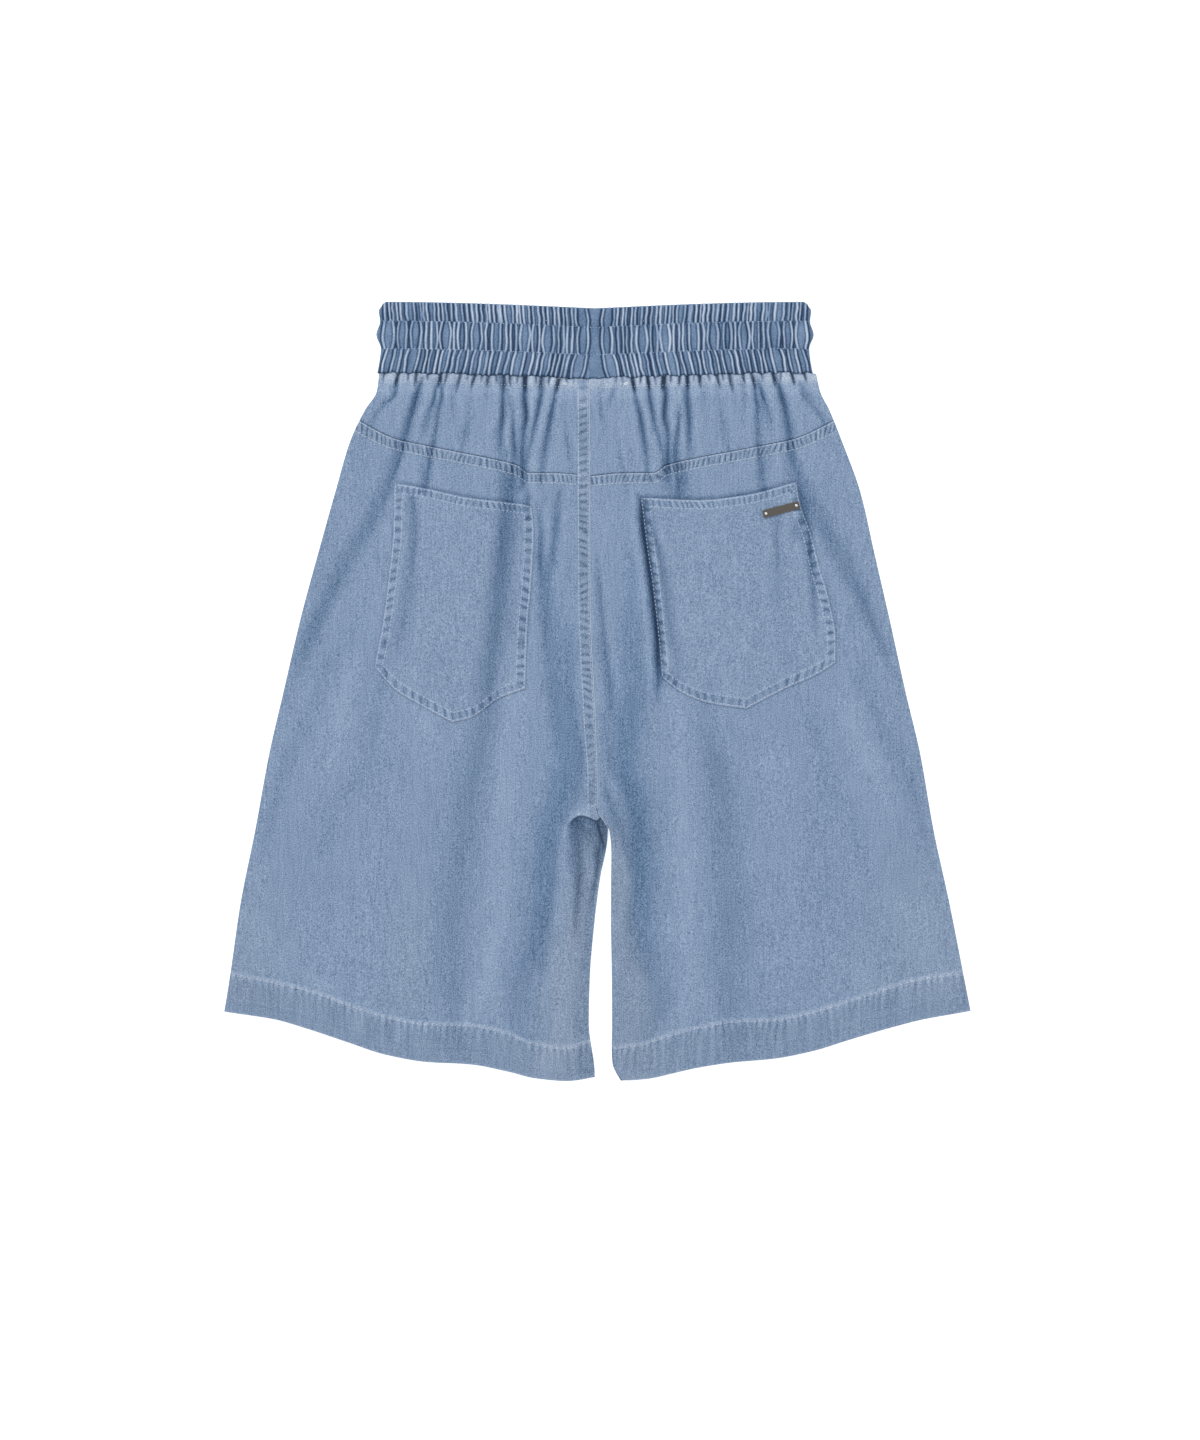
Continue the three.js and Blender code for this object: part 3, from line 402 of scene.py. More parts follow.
    [(85.2, 249.2, 2, 2, 11), (85.2, 237.2, 2.4, 2.4, 12), (86.8, 225.2, 2.4, 2.4, 0)],
    [(94.8, 245.2, 2, 2, 7), (97.2, 233.2, 2.4, 2.4, 7), (99.6, 221.2, 3.6, 3.6, 12),
     (102.8, 205.2, 4.8, 4.8, 13), (106.8, 189.2, 3.2, 3.2, 5), (110.8, 177.2, 3.2, 3.2, 0)],
    [(114.8, 249.2, 2, 2, 12), (117.2, 237.2, 2.8, 2.8, 13), (117.2, 221.2, 4, 4, 8),
     (118, 209.2, 4, 4, 0)],
    [(125.2, 250.8, 2, 2, 23), (126.4, 237.2, 2.4, 2.4, 41), (128.4, 221.2, 3.2, 5.2, 30),
     (128, 205.2, 2.8, 4, 23), (129.6, 189.2, 2.4, 5.2, 33), (131.6, 169.2, 4.4, 4.4, 26),
     (133.2, 161.2, 4, 4, 22), (134, 155.6, 3.2, 3.2, 0)],
    [(128.4, 250.8, 2, 2, 25), (132, 237.2, 2.4, 2.4, 49), (134.8, 229.2, 2.8, 2.8, 28),
     (137.2, 221.2, 3.6, 3.2, 18), (140.4, 205.2, 4.8, 4, 8), (143.6, 193.2, 4.8, 4.8, 0)],
    [(142, 143.6, 3.2, 3.2, 7), (142.8, 129.2, 3.6, 3.6, 11), (144.4, 105.2, 3.6, 4.8, 16),
     (144.4, 81.2, 5.6, 6.4, 9), (146, 57.2, 5.6, 5.6, 5), (151.6, 29.2, 6.4, 4.8, 7),
     (157.2, 18.8, 4.8, 4.8, 0)],
    [(142.8, 252.4, 2.4, 2.4, 40), (147.2, 237.2, 3.2, 3.2, 51), (151.2, 221.2, 4, 3.6, 37),
     (153.6, 205.2, 4.4, 4, 34), (155.6, 189.2, 4.8, 4.4, 36), (161.2, 169.2, 5.6, 7.2, 32),
     (166.8, 153.2, 4.8, 11.2, 34), (180.8, 129.2, 8, 8.8, 28), (196.4, 105.2, 10.4, 9.6, 21),
     (212.4, 73.2, 7.2, 7.2, 31), (226, 41.2, 6.4, 5.6, 25), (236.4, 17.2, 4.8, 4.8, 10),
     (244.4, -2.8, 4, 4, 0)],
    [(160.4, 166, 2.4, 2.4, 7), (162.8, 153.2, 2.4, 4.8, 25), (166, 141.2, 2.8, 3.6, 34),
     (169.2, 129.2, 3.2, 3.2, 34), (170.4, 105.2, 3.6, 4, 30), (173.2, 73.2, 3.2, 3.2, 19),
     (174, 53.2, 3.2, 3.2, 7), (174.8, 41.2, 3.2, 3.2, 0)],
    [(159.6, 153.2, 3.2, 3.2, 0), (162, 141.2, 4, 3.2, 18), (162, 129.2, 6.4, 3.2, 31),
     (165.2, 114.8, 4, 3.2, 11), (166.8, 105.2, 3.2, 3.2, 0)],
    [(185.2, 93.2, 4, 4, 0), (186, 73.2, 5.6, 4.8, 13), (192.4, 41.2, 5.6, 5.6, 7),
     (194, 25.2, 5.6, 5.6, 0)],
    [(26, 201.2, 3.2, 3.2, 0), (27.6, 189.2, 3.2, 3.2, 8), (28.4, 177.2, 3.2, 3.2, 0)],
    [(162.8, 247.6, 2, 2.4, 18), (165.2, 237.2, 2.4, 6.4, 33), (171.6, 229.2, 4, 4, 15),
     (178.4, 221.2, 4, 3.2, 21), (184.4, 207.6, 3.2, 3.2, 7), (190.8, 193.2, 4, 4, 4),
     (195.6, 178.8, 4, 4, 0)],
    [(194, 81.2, 6.4, 6.4, 0), (203.6, 41.2, 7.2, 7.2, 5), (212.4, 9.2, 7.2, 7.2, 9),
     (226.8, -22.8, 8, 7.2, 10), (242.8, -54.8, 8, 6.4, 13), (254, -86.8, 6.4, 4.8, 11),
     (262, -118.8, 4.8, 4, 9), (270.8, -150.8, 4, 4, 0)],
    [(171.6, 1.2, 6.4, 6.4, 0), (173.2, -22.8, 9.6, 9.6, 8), (181.2, -54.8, 9.6, 9.6, 7),
     (192.4, -86.8, 9.6, 9.6, 5), (207.6, -118.8, 6.4, 6.4, 6), (216.4, -144.4, 4.8, 4.8, 5),
     (226, -166.8, 4, 4, 0)],
    [(162, -54.8, 16, 16, 0), (174, -102.8, 20, 20, 4), (178, -166.8, 20, 20, 4),
     (174, -214.8, 20, 20, 0)],
    [(139.6, -6.8, 12.8, 12.8, 0), (142, -54.8, 14.4, 14.4, -7), (146, -86.8, 14.4, 14.4, -7),
     (147.6, -126.8, 14.4, 14.4, 0)],
    [(198, 9.2, 9.6, 9.6, 0), (202, -22.8, 9.6, 9.6, -11), (214.8, -54.8, 9.6, 9.6, -11),
     (230, -86.8, 8, 8, -5), (238, -118.8, 6.4, 6.4, 0)],
    [(238, -150.8, 16, 16, 0), (254, -182.8, 17.6, 17.6, -9), (266, -214.8, 16, 16, -4),
     (270, -238.8, 16, 16, 0)],
    [(216.4, -214.8, 9.6, 9.6, 0), (214.8, -234.8, 9.6, 9.6, -12), (211.6, -246.8, 8, 8, 0)],
    [(59.6, 1.2, 8, 8, -5), (66, -38.8, 9.6, 9.6, -9), (69.2, -86.8, 10.4, 10.4, -12),
     (70.8, -134.8, 10.4, 10.4, -12), (70.8, -182.8, 10.4, 10.4, -12),
     (72.4, -222.8, 9.6, 9.6, -12), (70.8, -258.8, 7.2, 7.2, -11)],
]
# the same, in the hollow below the lip at the crotch
HOLLOW_FOLDS = [
    [(-18, -98.8, 4, 4.8, 23), (-14.8, -112.4, 5.6, 5.6, 25), (-14.4, -122.8, 5.6, 4.8, 27),
     (-15.2, -130.8, 5.6, 4.8, 31), (-15.2, -142.8, 4.8, 4.8, 39), (-15.6, -158.8, 4, 4, 37),
     (-17.2, -174.8, 4, 3.2, 25), (-18, -190.8, 4, 4, 14), (-19.6, -206.8, 4, 4, 0)],
    [(-0.4, -93.2, 7.2, 7.2, 27), (2, -106.8, 5.6, 6.4, 36), (3.6, -118.8, 4.8, 6.4, 39),
     (0.4, -130.8, 4, 4.8, 41), (-0.4, -142.8, 2.8, 3.2, 34), (-2, -154.8, 2.4, 2.4, 27),
     (-4.4, -168.4, 2.4, 2.4, 11), (-6, -178.8, 2.4, 2.4, 0)],
    [(-10.8, -126.8, 4.8, 4.8, 0), (-9.2, -142.8, 5.6, 4.8, 9), (-9.2, -154.8, 5.6, 4.8, 14),
     (-10.8, -170.8, 5.6, 4.8, 7), (-12.4, -186.8, 5.6, 4.8, 0)],
]
# the same, but tint: above zero the cloth is bluer, as the hue of the painted fold shade;
# below zero it is greyer
TINTS = [
    [(-39.6, 161.2, 8, 8, 20), (-33.2, 105.2, 12.8, 9.6, 30), (-27.6, 41.2, 16, 11.2, 30),
     (-23.6, -6.8, 19.2, 11.2, 30), (-25.2, -54.8, 19.2, 9.6, 40), (-34, -102.8, 19.2, 8, 40),
     (-41.2, -142.8, 17.6, 7.2, 40), (-47.6, -182.8, 17.6, 8, 30), (-58, -214.8, 16, 9.6, 20),
     (-70, -246.8, 11.2, 11.2, 0)],
    [(27.6, 153.2, 8, 8, 10), (24.4, 81.2, 9.6, 11.2, 30), (24.4, 25.2, 11.2, 16, 40),
     (19.6, -22.8, 11.2, 19.2, 40), (22, -62.8, 9.6, 19.2, 40), (30.8, -102.8, 8, 19.2, 20),
     (35.6, -134.8, 8, 19.2, 30), (34, -174.8, 7.2, 17.6, 30), (46, -214.8, 9.6, 16, 20),
     (59.6, -246.8, 11.2, 11.2, 0)],
    [(-7.6, -98.8, 6.4, 16, 0), (-7.6, -114.8, 8, 16, -40), (-10, -150.8, 11.2, 16, -70),
     (-15.6, -190.8, 16, 16, -90), (-22, -230.8, 20.8, 20.8, -90), (-26, -278.8, 24, 24, -80),
     (-28.4, -310.8, 24, 24, -40)],
    [(13.2, -98.8, 9.6, 8, 0), (14.8, -114.8, 11.2, 9.6, -70), (18, -150.8, 11.2, 9.6, -90),
     (19.6, -190.8, 12.8, 11.2, -80), (26, -230.8, 16, 16, -80), (30, -278.8, 19.2, 19.2, -80),
     (32.4, -310.8, 19.2, 19.2, -40)],
    [(-286, -126.8, 32, 36, 0), (-292.4, -174.8, 36, 40, -25), (-297.2, -246.8, 40, 44, -35)],
    [(254, -102.8, 36, 28, 0), (262, -158.8, 44, 32, -25), (266, -238.8, 48, 36, -35)],
    [(-146, -126.8, 16, 16, 0), (-150, -190.8, 17.6, 17.6, -25), (-154, -254.8, 17.6, 17.6, -25)],
]


def fold_lines(table):
    """Each fold as a smooth line, x at y, and its rows from the bottom up."""
    rows = [np.array(sorted(fold, key=lambda place: place[1])) for fold in table]
    return [(smooth_line([(r[1], r[0]) for r in fold], 1), fold) for fold in rows]


fold_set, hollow_set, tint_set = (fold_lines(table) for table in (FOLDS, HOLLOW_FOLDS, TINTS))


def fold_sum(x, y, lines):
    """The folds' dip at each point, which is painted on as shade, and the same with narrow folds made
    shallow.
    """
    dip, depth = np.zeros_like(x), np.zeros_like(x)
    for line, rows in lines:
        offset = x - line(y)
        left, right, size = (np.interp(y, rows[:, 1], rows[:, k]) for k in (2, 3, 4))
        size = size * ease(y, rows[0, 1] - 3, rows[0, 1]) * (1 - ease(y, rows[-1, 1], rows[-1, 1] + 3))
        width = np.where(offset < 0, left, right)
        some = 0.01 * size * bell(offset, width)
        narrow = 1 - ease(width, 3.4, 5.6)
        core = 0.55 * bell(offset, 0.45 * width) + 0.15
        flank = 0.002 * size * bell(np.abs(offset) - 2.1 * width, 0.9 * width)
        some = some + narrow * (some * core - flank) * (size > 0)
        dip += some
        depth += some * np.clip(width / 7, 0.3, 1.3)
    return dip, depth


# x, y of the lip that the seat makes over the left leg: two lobes that meet at the centre seam
LIP = [
    (-26, -118), (-24.7, -110.8), (-21, -103), (-13.2, -98.8), (-6, -100.6), (-0.8, -102.6),
    (3, -99.4), (6.5, -97.4), (10, -101), (13.2, -111),
]
lip_line = smooth_line(LIP, 1)
HOLLOW_DEPTH, HOLLOW_RUN = 2.6, 75


def hollow(x, y):
    """0 to 1 where the left leg drops under the lip at the crotch."""
    below = lip_line(x) - y
    within = ease(x, -26, -22 + 6 * ease(below, 10, 60)) * (x < 13)
    return ease(below, 0, 2) * within * (1 - ease(below, 8, HOLLOW_RUN))


def rest_height(side, x, y):
    """Height of the underside of the back."""
    from_side = ease(side * (side_edge(side, y) - x), 0, SIDE_RUN)
    from_inseam = ease(side * (x - inner_edge(side, y)), 0, INSEAM_RUN)
    below_crotch = ease(-y, 96, 118)
    edge = from_side * (1 - below_crotch + below_crotch * from_inseam)
    rise = CROWN * (1 - 0.3 * ease(-y, 120, 300)) - FOLD_DEPTH * fold_sum(x, y, fold_set)[1]
    rise += 0.2 * wander_over(11, x / 23, y / 47)
    if side == LEFT:
        rise -= HOLLOW_DEPTH * hollow(x, y) * (1 + fold_sum(x, y, hollow_set)[1])
    soft = 0.5 * (rise + np.sqrt(rise * rise + 0.5))
    return BACK_REST + edge * np.minimum(soft, MOST_RISE)


print("folds:", len(FOLDS))

# %% [markdown]
# ## From a grid to cloth
# A sheet of cloth is a closed wall: a fine upper surface, a lower one below it, and a rim. Both are
# laid out on one grid that runs from the inner edge to the side seam and from the top to the bottom,
# with closer lines where a felled seam or a rolled edge needs them. Each point also carries a number
# for wear and painted shade. Above zero the indigo is rubbed pale, as on a ridge; below zero it is
# darker, mostly as painted shade in folds, tucks, notches and hollows. A second number, tint, turns the
# colour a little greyer in places, and a little bluer in the folds, as the hue of the painted fold shade.

# %% Grids and walls
def spread(length, step, start=(0,), end=(0,)):
    """Lines over a length: fine ones at each end, even ones between, as (share, from start, from end)."""
    a, b = start[-1], end[0]
    count = max(2, round((length - a - b) / step))
    lines = [(0, s, 0) for s in start[:-1]]
    lines += [(t, a, b) for t in np.linspace(0, 1, count + 1)]
    lines += [(1, 0, s) for s in end[1:]]
    return np.array(lines).T


def panel_grid(side, top, bottom, columns, rows):
    """Places of a panel's points, and how far across it each one is."""
    across_share, from_inner, from_side = columns[:, None, :]
    down_share, from_top, from_bottom = rows[:, :, None]
    across = across_share
    for _ in range(4):
        y = (1 - down_share) * (top(side, across) - from_top)
        y = y + down_share * (bottom(side, across) + from_bottom)
        inner, outer = inner_edge(side, y), side_edge(side, y)
        x = (1 - across_share) * (inner + side * from_inner)
        x = x + across_share * (outer - side * from_side)
        across = (x - inner) / (outer - inner)
    return x, y, across


# how much bluer the painted shade makes the cloth in a fold
FOLD_SHADE_TINT = 0.9


def wall(name, x, y, upper, lower, wear_and_shade, material, tint=0.0):
    """A closed wall of cloth over a grid, as an object that rides on the shorts."""
    # tint: zones from the tint table, and the bluer hue of the painted fold shade
    tint = tint + fold_sum(x, y, tint_set)[0] * ease(-y, -168, -130)
    tint = tint + FOLD_SHADE_TINT * np.clip(fold_sum(x, y, fold_set)[0], 0, 0.45)
    if x[0, -1] < x[0, 0]:
        x, y, upper, lower, wear_and_shade, tint = (g[:, ::-1] for g in (x, y, upper, lower, wear_and_shade, tint))
    rows, columns = x.shape
    count = rows * columns
    points = np.concatenate([np.stack([x, y, z], -1).reshape(-1, 3) for z in (upper, lower)]) * MM
    index = np.arange(count).reshape(rows, columns)
    a, b, c, d = index[:-1, :-1], index[1:, :-1], index[1:, 1:], index[:-1, 1:]
    up = np.stack([a, b, c, d], -1).reshape(-1, 4)
    rim = np.concatenate([index[0, :-1], index[:-1, -1], index[-1, :0:-1], index[:0:-1, 0]])
    after = np.roll(rim, -1)
    sides = np.stack([rim, after, after + count, rim + count], -1)
    faces = np.concatenate([up, up[:, ::-1] + count, sides])
    mesh = bpy.data.meshes.new(name)
    mesh.from_pydata(points.tolist(), [], faces.tolist())
    mesh.polygons.foreach_set("use_smooth", np.ones(len(faces), bool))
    for label, values in (("wear_and_shade", wear_and_shade), ("tint", tint)):
        layer = mesh.attributes.new(label, "FLOAT", "POINT")
        layer.data.foreach_set("value", np.tile(np.clip(values, -1.5, 1.5).ravel(), 2).astype(np.float32))
    mesh.update()
    piece = bpy.data.objects.new(name, mesh)
    scene.collection.objects.link(piece)
    bpy.ops.object.select_all(action="DESELECT")
    piece.select_set(True)
    bpy.context.view_layer.objects.active = piece
    bpy.ops.object.shade_smooth_by_angle(angle=math.radians(50))
    mesh.materials.append(material)
    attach(piece, "root")
    print(name, 2 * len(faces), "triangles")
    return piece


def plan_area(x, y):
    """Flat area of a grid in square metres."""
    ax, ay = x[1:, 1:] - x[:-1, :-1], y[1:, 1:] - y[:-1, :-1]
    bx, by = x[1:, :-1] - x[:-1, 1:], y[1:, :-1] - y[:-1, 1:]
    return float(np.abs(ax * by - ay * bx).sum() / 2) * MM * MM


# %% [markdown]
# ## Washed denim
# The cloth is a light cotton denim: indigo warp threads run up and down, white weft threads run across,
# and a stone wash has mottled both. From here it reads as fine pale and dark specks, a little longer
# than wide, with faint upright streaks where a warp thread is thick. The real threads are 0.4 mm apart,
# too fine for this picture, so the specks are drawn at about 1 mm, and a twill line at real scale shows
# close up. Wear and painted shade move the colour along one ramp, from the painted dark of a tuck to
# the pale of a rubbed ridge.

# %% Materials of cloth and thread
def linear(text):
    """An sRGB hex colour as linear red, green, blue and alpha."""
    values = [int(text[i : i + 2], 16) / 255 for i in (0, 2, 4)]
    return [v / 12.92 if v <= 0.04045 else ((v + 0.055) / 1.055) ** 2.4 for v in values] + [1]


def add(tree, kind, settings=(), links=()):
    """A node with its settings and its links: {input: value or output socket}."""
    node = tree.nodes.new(kind)
    for key, value in dict(settings).items():
        setattr(node, key, value)
    for key, value in dict(links).items():
        if isinstance(value, bpy.types.NodeSocket):
            tree.links.new(value, node.inputs[key])
        else:
            node.inputs[key].default_value = value
    return node


def new_material(name):
    material = bpy.data.materials.new(name)
    material.use_nodes = True
    return material, material.node_tree, material.node_tree.nodes["Principled BSDF"]


DENIM_RAMP = [(0.0, "2c3f5a"), (0.25, "556d8a"), (0.5, "8196b3"), (0.75, "a0b3cc"), (1.0, "c3cfe0")]


def denim(name, shade=0.0, grain=1.0):
    """Washed denim. shade moves it along the ramp, and grain is how strong its specks are."""
    material, tree, shader = new_material(name)
    place = add(tree, "ShaderNodeTexCoord").outputs["Object"]

    def specks(size, detail):
        mapped = add(tree, "ShaderNodeMapping", links={"Vector": place, "Scale": [1 / s for s in size]})
        settings = {"noise_dimensions": "3D"}
        inputs = {"Vector": mapped.outputs[0], "Scale": 1.0, "Detail": detail, "Roughness": 0.6}
        return add(tree, "ShaderNodeTexNoise", settings, inputs).outputs["Fac"]

    def sums(kind, a, b, c=0.0):
        links = {0: a, 1: b}
        if kind == "MULTIPLY_ADD":
            links[2] = c
        return add(tree, "ShaderNodeMath", {"operation": kind}, links).outputs[0]

    wear_and_shade = add(tree, "ShaderNodeAttribute", {"attribute_name": "wear_and_shade"}).outputs["Fac"]
    level = sums("MULTIPLY_ADD", wear_and_shade, 0.5, 0.5 + 0.5 * shade)
    # specks show more on rubbed cloth than in a tuck darkened with painted shade
    strong = sums("MULTIPLY_ADD", wear_and_shade, 0.35, 1.0)
    layers = [
        (specks((0.85 * MM, 1.0 * MM, 0.85 * MM), 1.0), 0.94 * grain),
        (specks((0.9 * MM, 16 * MM, 0.9 * MM), 1.0), 0.26 * grain),
        (specks((5 * MM, 40 * MM, 5 * MM), 2.0), 0.08),
    ]
    for fac, strength in layers:
        speck = sums("MULTIPLY_ADD", fac, strength, -strength / 2)
        level = sums("MULTIPLY_ADD", speck, strong, level)
    ramp = add(tree, "ShaderNodeValToRGB", links={"Fac": level})
    elements = ramp.color_ramp.elements
    while len(elements) < len(DENIM_RAMP):
        elements.new(0.5)
    for element, (position, colour) in zip(elements, DENIM_RAMP):
        element.position = position
        element.color = linear(colour)
    tint = add(tree, "ShaderNodeAttribute", {"attribute_name": "tint"}).outputs["Fac"]
    saturation = sums("MULTIPLY_ADD", tint, 0.16, 1.0)
    tinted = add(
        tree, "ShaderNodeHueSaturation", links={"Saturation": saturation, "Color": ramp.outputs["Color"]}
    )
    tree.links.new(tinted.outputs["Color"], shader.inputs["Base Color"])
    twill = add(
        tree,
        "ShaderNodeTexWave",
        {"wave_type": "BANDS", "bands_direction": "DIAGONAL"},
        {"Vector": place, "Scale": 1 / (0.9 * MM) / 6, "Distortion": 1.5, "Detail": 2.0},
    )
    height = sums("MULTIPLY_ADD", twill.outputs["Fac"], 0.3, layers[0][0])
    bump = add(tree, "ShaderNodeBump", links={"Height": height, "Strength": 0.35, "Distance": 0.25 * MM})
    tree.links.new(bump.outputs["Normal"], shader.inputs["Normal"])
    shader.inputs["Roughness"].default_value = 0.92
    shader.inputs["Specular IOR Level"].default_value = 0.15
    shader.inputs["Sheen Weight"].default_value = 0.12
    shader.inputs["Sheen Roughness"].default_value = 0.5
    return material


washed_denim = denim("washed_denim")
gathered_denim = denim("washed_denim_gathered", shade=-0.04, grain=0.6)
hem_denim = denim("washed_denim_doubled", shade=-0.02)


def cotton_thread(name, colour):
    """Spun cotton sewing thread, matt, with a fine twist."""
    material, tree, shader = new_material(name)
    place = add(tree, "ShaderNodeTexCoord").outputs["Object"]
    twist = add(
        tree,
        "ShaderNodeTexWave",
        {"bands_direction": "DIAGONAL"},
        {"Vector": place, "Scale": 1 / (0.3 * MM) / 6, "Distortion": 0.5},
    )
    bump = add(
        tree,
        "ShaderNodeBump",
        links={"Height": twist.outputs["Fac"], "Strength": 0.4, "Distance": 0.05 * MM},
    )
    tree.links.new(bump.outputs["Normal"], shader.inputs["Normal"])
    shader.inputs["Base Color"].default_value = linear(colour)
    shader.inputs["Roughness"].default_value = 0.8
    shader.inputs["Sheen Weight"].default_value = 0.1
    return material


pale_thread = cotton_thread("cotton_thread_pale", "c3d0e3")
white_thread = cotton_thread("cotton_thread_white", "eef1f5")
print("denim, from tuck to ridge:", [colour for _, colour in DENIM_RAMP])

# %% [markdown]
# ## Puckered seams
# Denim shrinks when it is washed and its thread doesn't, so every sewn strip draws up into small bars:
# pale where the cloth stands up and dark where it is pulled in. The bars lean one way and then the
# other. One function gives them for a place along the seam and a distance from it.

# %% Puckers
def bars(seed, along, distance=0.0, spacing=5.0):
    """Pucker bars along a seam, from -1 to 1, uneven in width, lean and strength."""
    lean = 0.6 * wander(seed + 5, along / 27)
    line = (along + lean * distance) / spacing + 0.35 * wander(seed + 3, along / 11)
    wave = np.tanh(2.2 * (np.sin(2 * math.pi * line) + 0.35))
    strength = 0.75 + 0.35 * wander(seed + 9, along / 5.3)
    return 0.95 * wave * strength + 0.25 * wander(seed + 7, along / 1.3)


def roll(distance, radius=1.2):
    """How far a rolled edge falls below the cloth's face, as a share of the cloth."""
    inside = np.clip(1 - distance / radius, 0, 1)
    return 1 - np.sqrt(1 - inside * inside)


print("bars:", np.round(bars(1, np.arange(0, 20, 4.0)), 2))

# %% [markdown]
# ## Back legs
# A back leg is cut as one piece from the yoke seam to the hem. It could be simulated, but a simulation
# would not fall in the folds that the photo shows, so the fold table shapes it. Where the legs part,
# the seat makes an arched lip over the left leg, which drops away below it. The shadow below the lip
# is painted shade, and the lip has a painted highlight.

# %% Back legs
LEG_STEP = (1.5, 2.4)
EDGE_LINES = (4, 2.6, 1.6, 0.9, 0.4, 0)
CROTCH_Y = -98
# x and y of the top and bottom of the inner leg's seam where it shows in the hollow
INSEAM = [(-0.8, -103), (5.8, -127)]


def mottle(side, x, y):
    """Broad, faint clouds that the wash leaves."""
    return 0.025 * wander_over(41 + side, x / 31, y / 70) + 0.02 * wander_over(44 + side, x / 11, y / 19)


def hollow_painted_shading(x, y):
    """Painted shadow and folds below the lip, a dark line at the inner seam, and a painted highlight on the
    lip.
    """
    below = lip_line(x) - y
    (x0, y0), (x1, y1) = INSEAM
    seam = bell(x - x0 - (x1 - x0) * (y - y0) / (y1 - y0), 0.7) * ease(-y, -y0, -y0 + 4)
    within = ease(below, 0, 1.2) * ease(x, -24.6, -20.4) * (x < 13)
    # painted shade: the hollow's folds, and a shadow under the lip that fades down the hollow; the inner
    # seam shows as a dark line
    wear_and_shade = -fold_sum(x, y, hollow_set)[0] * within - 0.44 * within * bell(below, 30)
    wear_and_shade = wear_and_shade - 0.3 * bell(below - 0.8, 1.3) * within - 0.55 * seam * within * (1 - ease(-y, 122, 130))
    # painted highlight along the lip
    wear_and_shade = wear_and_shade + 0.32 * bell(below + 0.9, 0.9) * ease(x, -28, -22) * (1 - ease(x, 8, 11)) * (below < 0)
    return wear_and_shade + 0.2 * bell(below + 3.6, 3.0) * ease(x, -30, -20) * (1 - ease(x, 6, 10)) * (below < 0)


def leg_face(side, x, y, across):
    """Lower face, upper face, and wear with painted shade, of a back leg."""
    lower = rest_height(side, x, y)
    from_side = side * (side_edge(side, y) - x)
    # the folds' dips darken the colour as painted shade
    wear_and_shade = mottle(side, x, y) - fold_sum(x, y, fold_set)[0]
    if side == LEFT:
        wear_and_shade = wear_and_shade + hollow_painted_shading(x, y)
    # painted shadow along the leg just above each pocket's opening
    pocket_top, low, high = pocket_tops[side]
    above = y - pocket_top(x)
    opening_shadow = 0.5 if side == RIGHT else 0.34
    wear_and_shade = wear_and_shade - opening_shadow * bell(above - 0.8, 1.8) * ease(x, low, low + 6) * (1 - ease(x, high - 6, high))
    wear_and_shade = wear_and_shade + 0.28 * bell(y - hem_fold(side, across), 1.5)
    upper = lower + CLOTH * (1 - 0.6 * roll(from_side))
    return lower, upper, wear_and_shade


# x and y along the opening of each pocket
POCKET_TOPS = {
    LEFT: [(-162.8, 166.8), (-137, 162.4), (-104.4, 155.2), (-61.5, 150.1), (-52.4, 148.2)],
    RIGHT: [(34, 155.2), (80.4, 153.2), (116.4, 156.8), (159.6, 167.8)],
}
pocket_tops = {
    side: (smooth_line(places, 1), places[0][0], places[-1][0]) for side, places in POCKET_TOPS.items()
}


def build_leg(side):
    inner_lines = (0, 0.4, 1, 2)
    if side == LEFT:
        inner_lines = (0, 0.4) + tuple(np.arange(1, 35, 0.8))
    columns = spread(250, LEG_STEP[0], inner_lines, EDGE_LINES)
    rows = spread(452, LEG_STEP[1], (0, 0.5, 1.3), (4, 2.8, 1.6, 0.7, 0))
    if side == LEFT:
        # closer rows at the lip
        shares, even = rows[0], np.linspace(0.585, 0.645, 41)
        above, below = rows[:, shares < even[0]], rows[:, shares > even[-1]]
        extra = [np.interp(even, shares, line) for line in rows]
        rows = np.concatenate([above, extra, below], 1)
    top = lambda s, u: yoke_seam(s, u) - SEAM_GAP / 2
    bottom = lambda s, u: hem_fold(s, u) + 0.02
    x, y, across = panel_grid(side, top, bottom, columns, rows)
    lower, upper, wear_and_shade = leg_face(side, x, y, across)
    name = SIDE_NAMES[side]
    piece = wall("leg_back_cloth_" + name, x, y, upper, lower, wear_and_shade, washed_denim)
    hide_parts("leg_back_" + name)
    return piece, plan_area(x, y)


leg_areas = {}
for side in (LEFT, RIGHT):
    piece, leg_areas[side] = build_leg(side)
print("leg areas:", leg_areas)

# %% [markdown]
# ## Yokes
# The yoke is wider than the waistband that it is sewn to, and the elastic draws it up into gathers.
# Just under the seam each gather is a sharp notch between two small puffs, with a row of topstitching
# across them. The notches are darkened with painted shade, and the puffs are rubbed pale. A hand's
# breadth lower, most have opened out, and only the larger ones go on as creases with a dark core of
# painted shade and a rubbed ridge at each side.

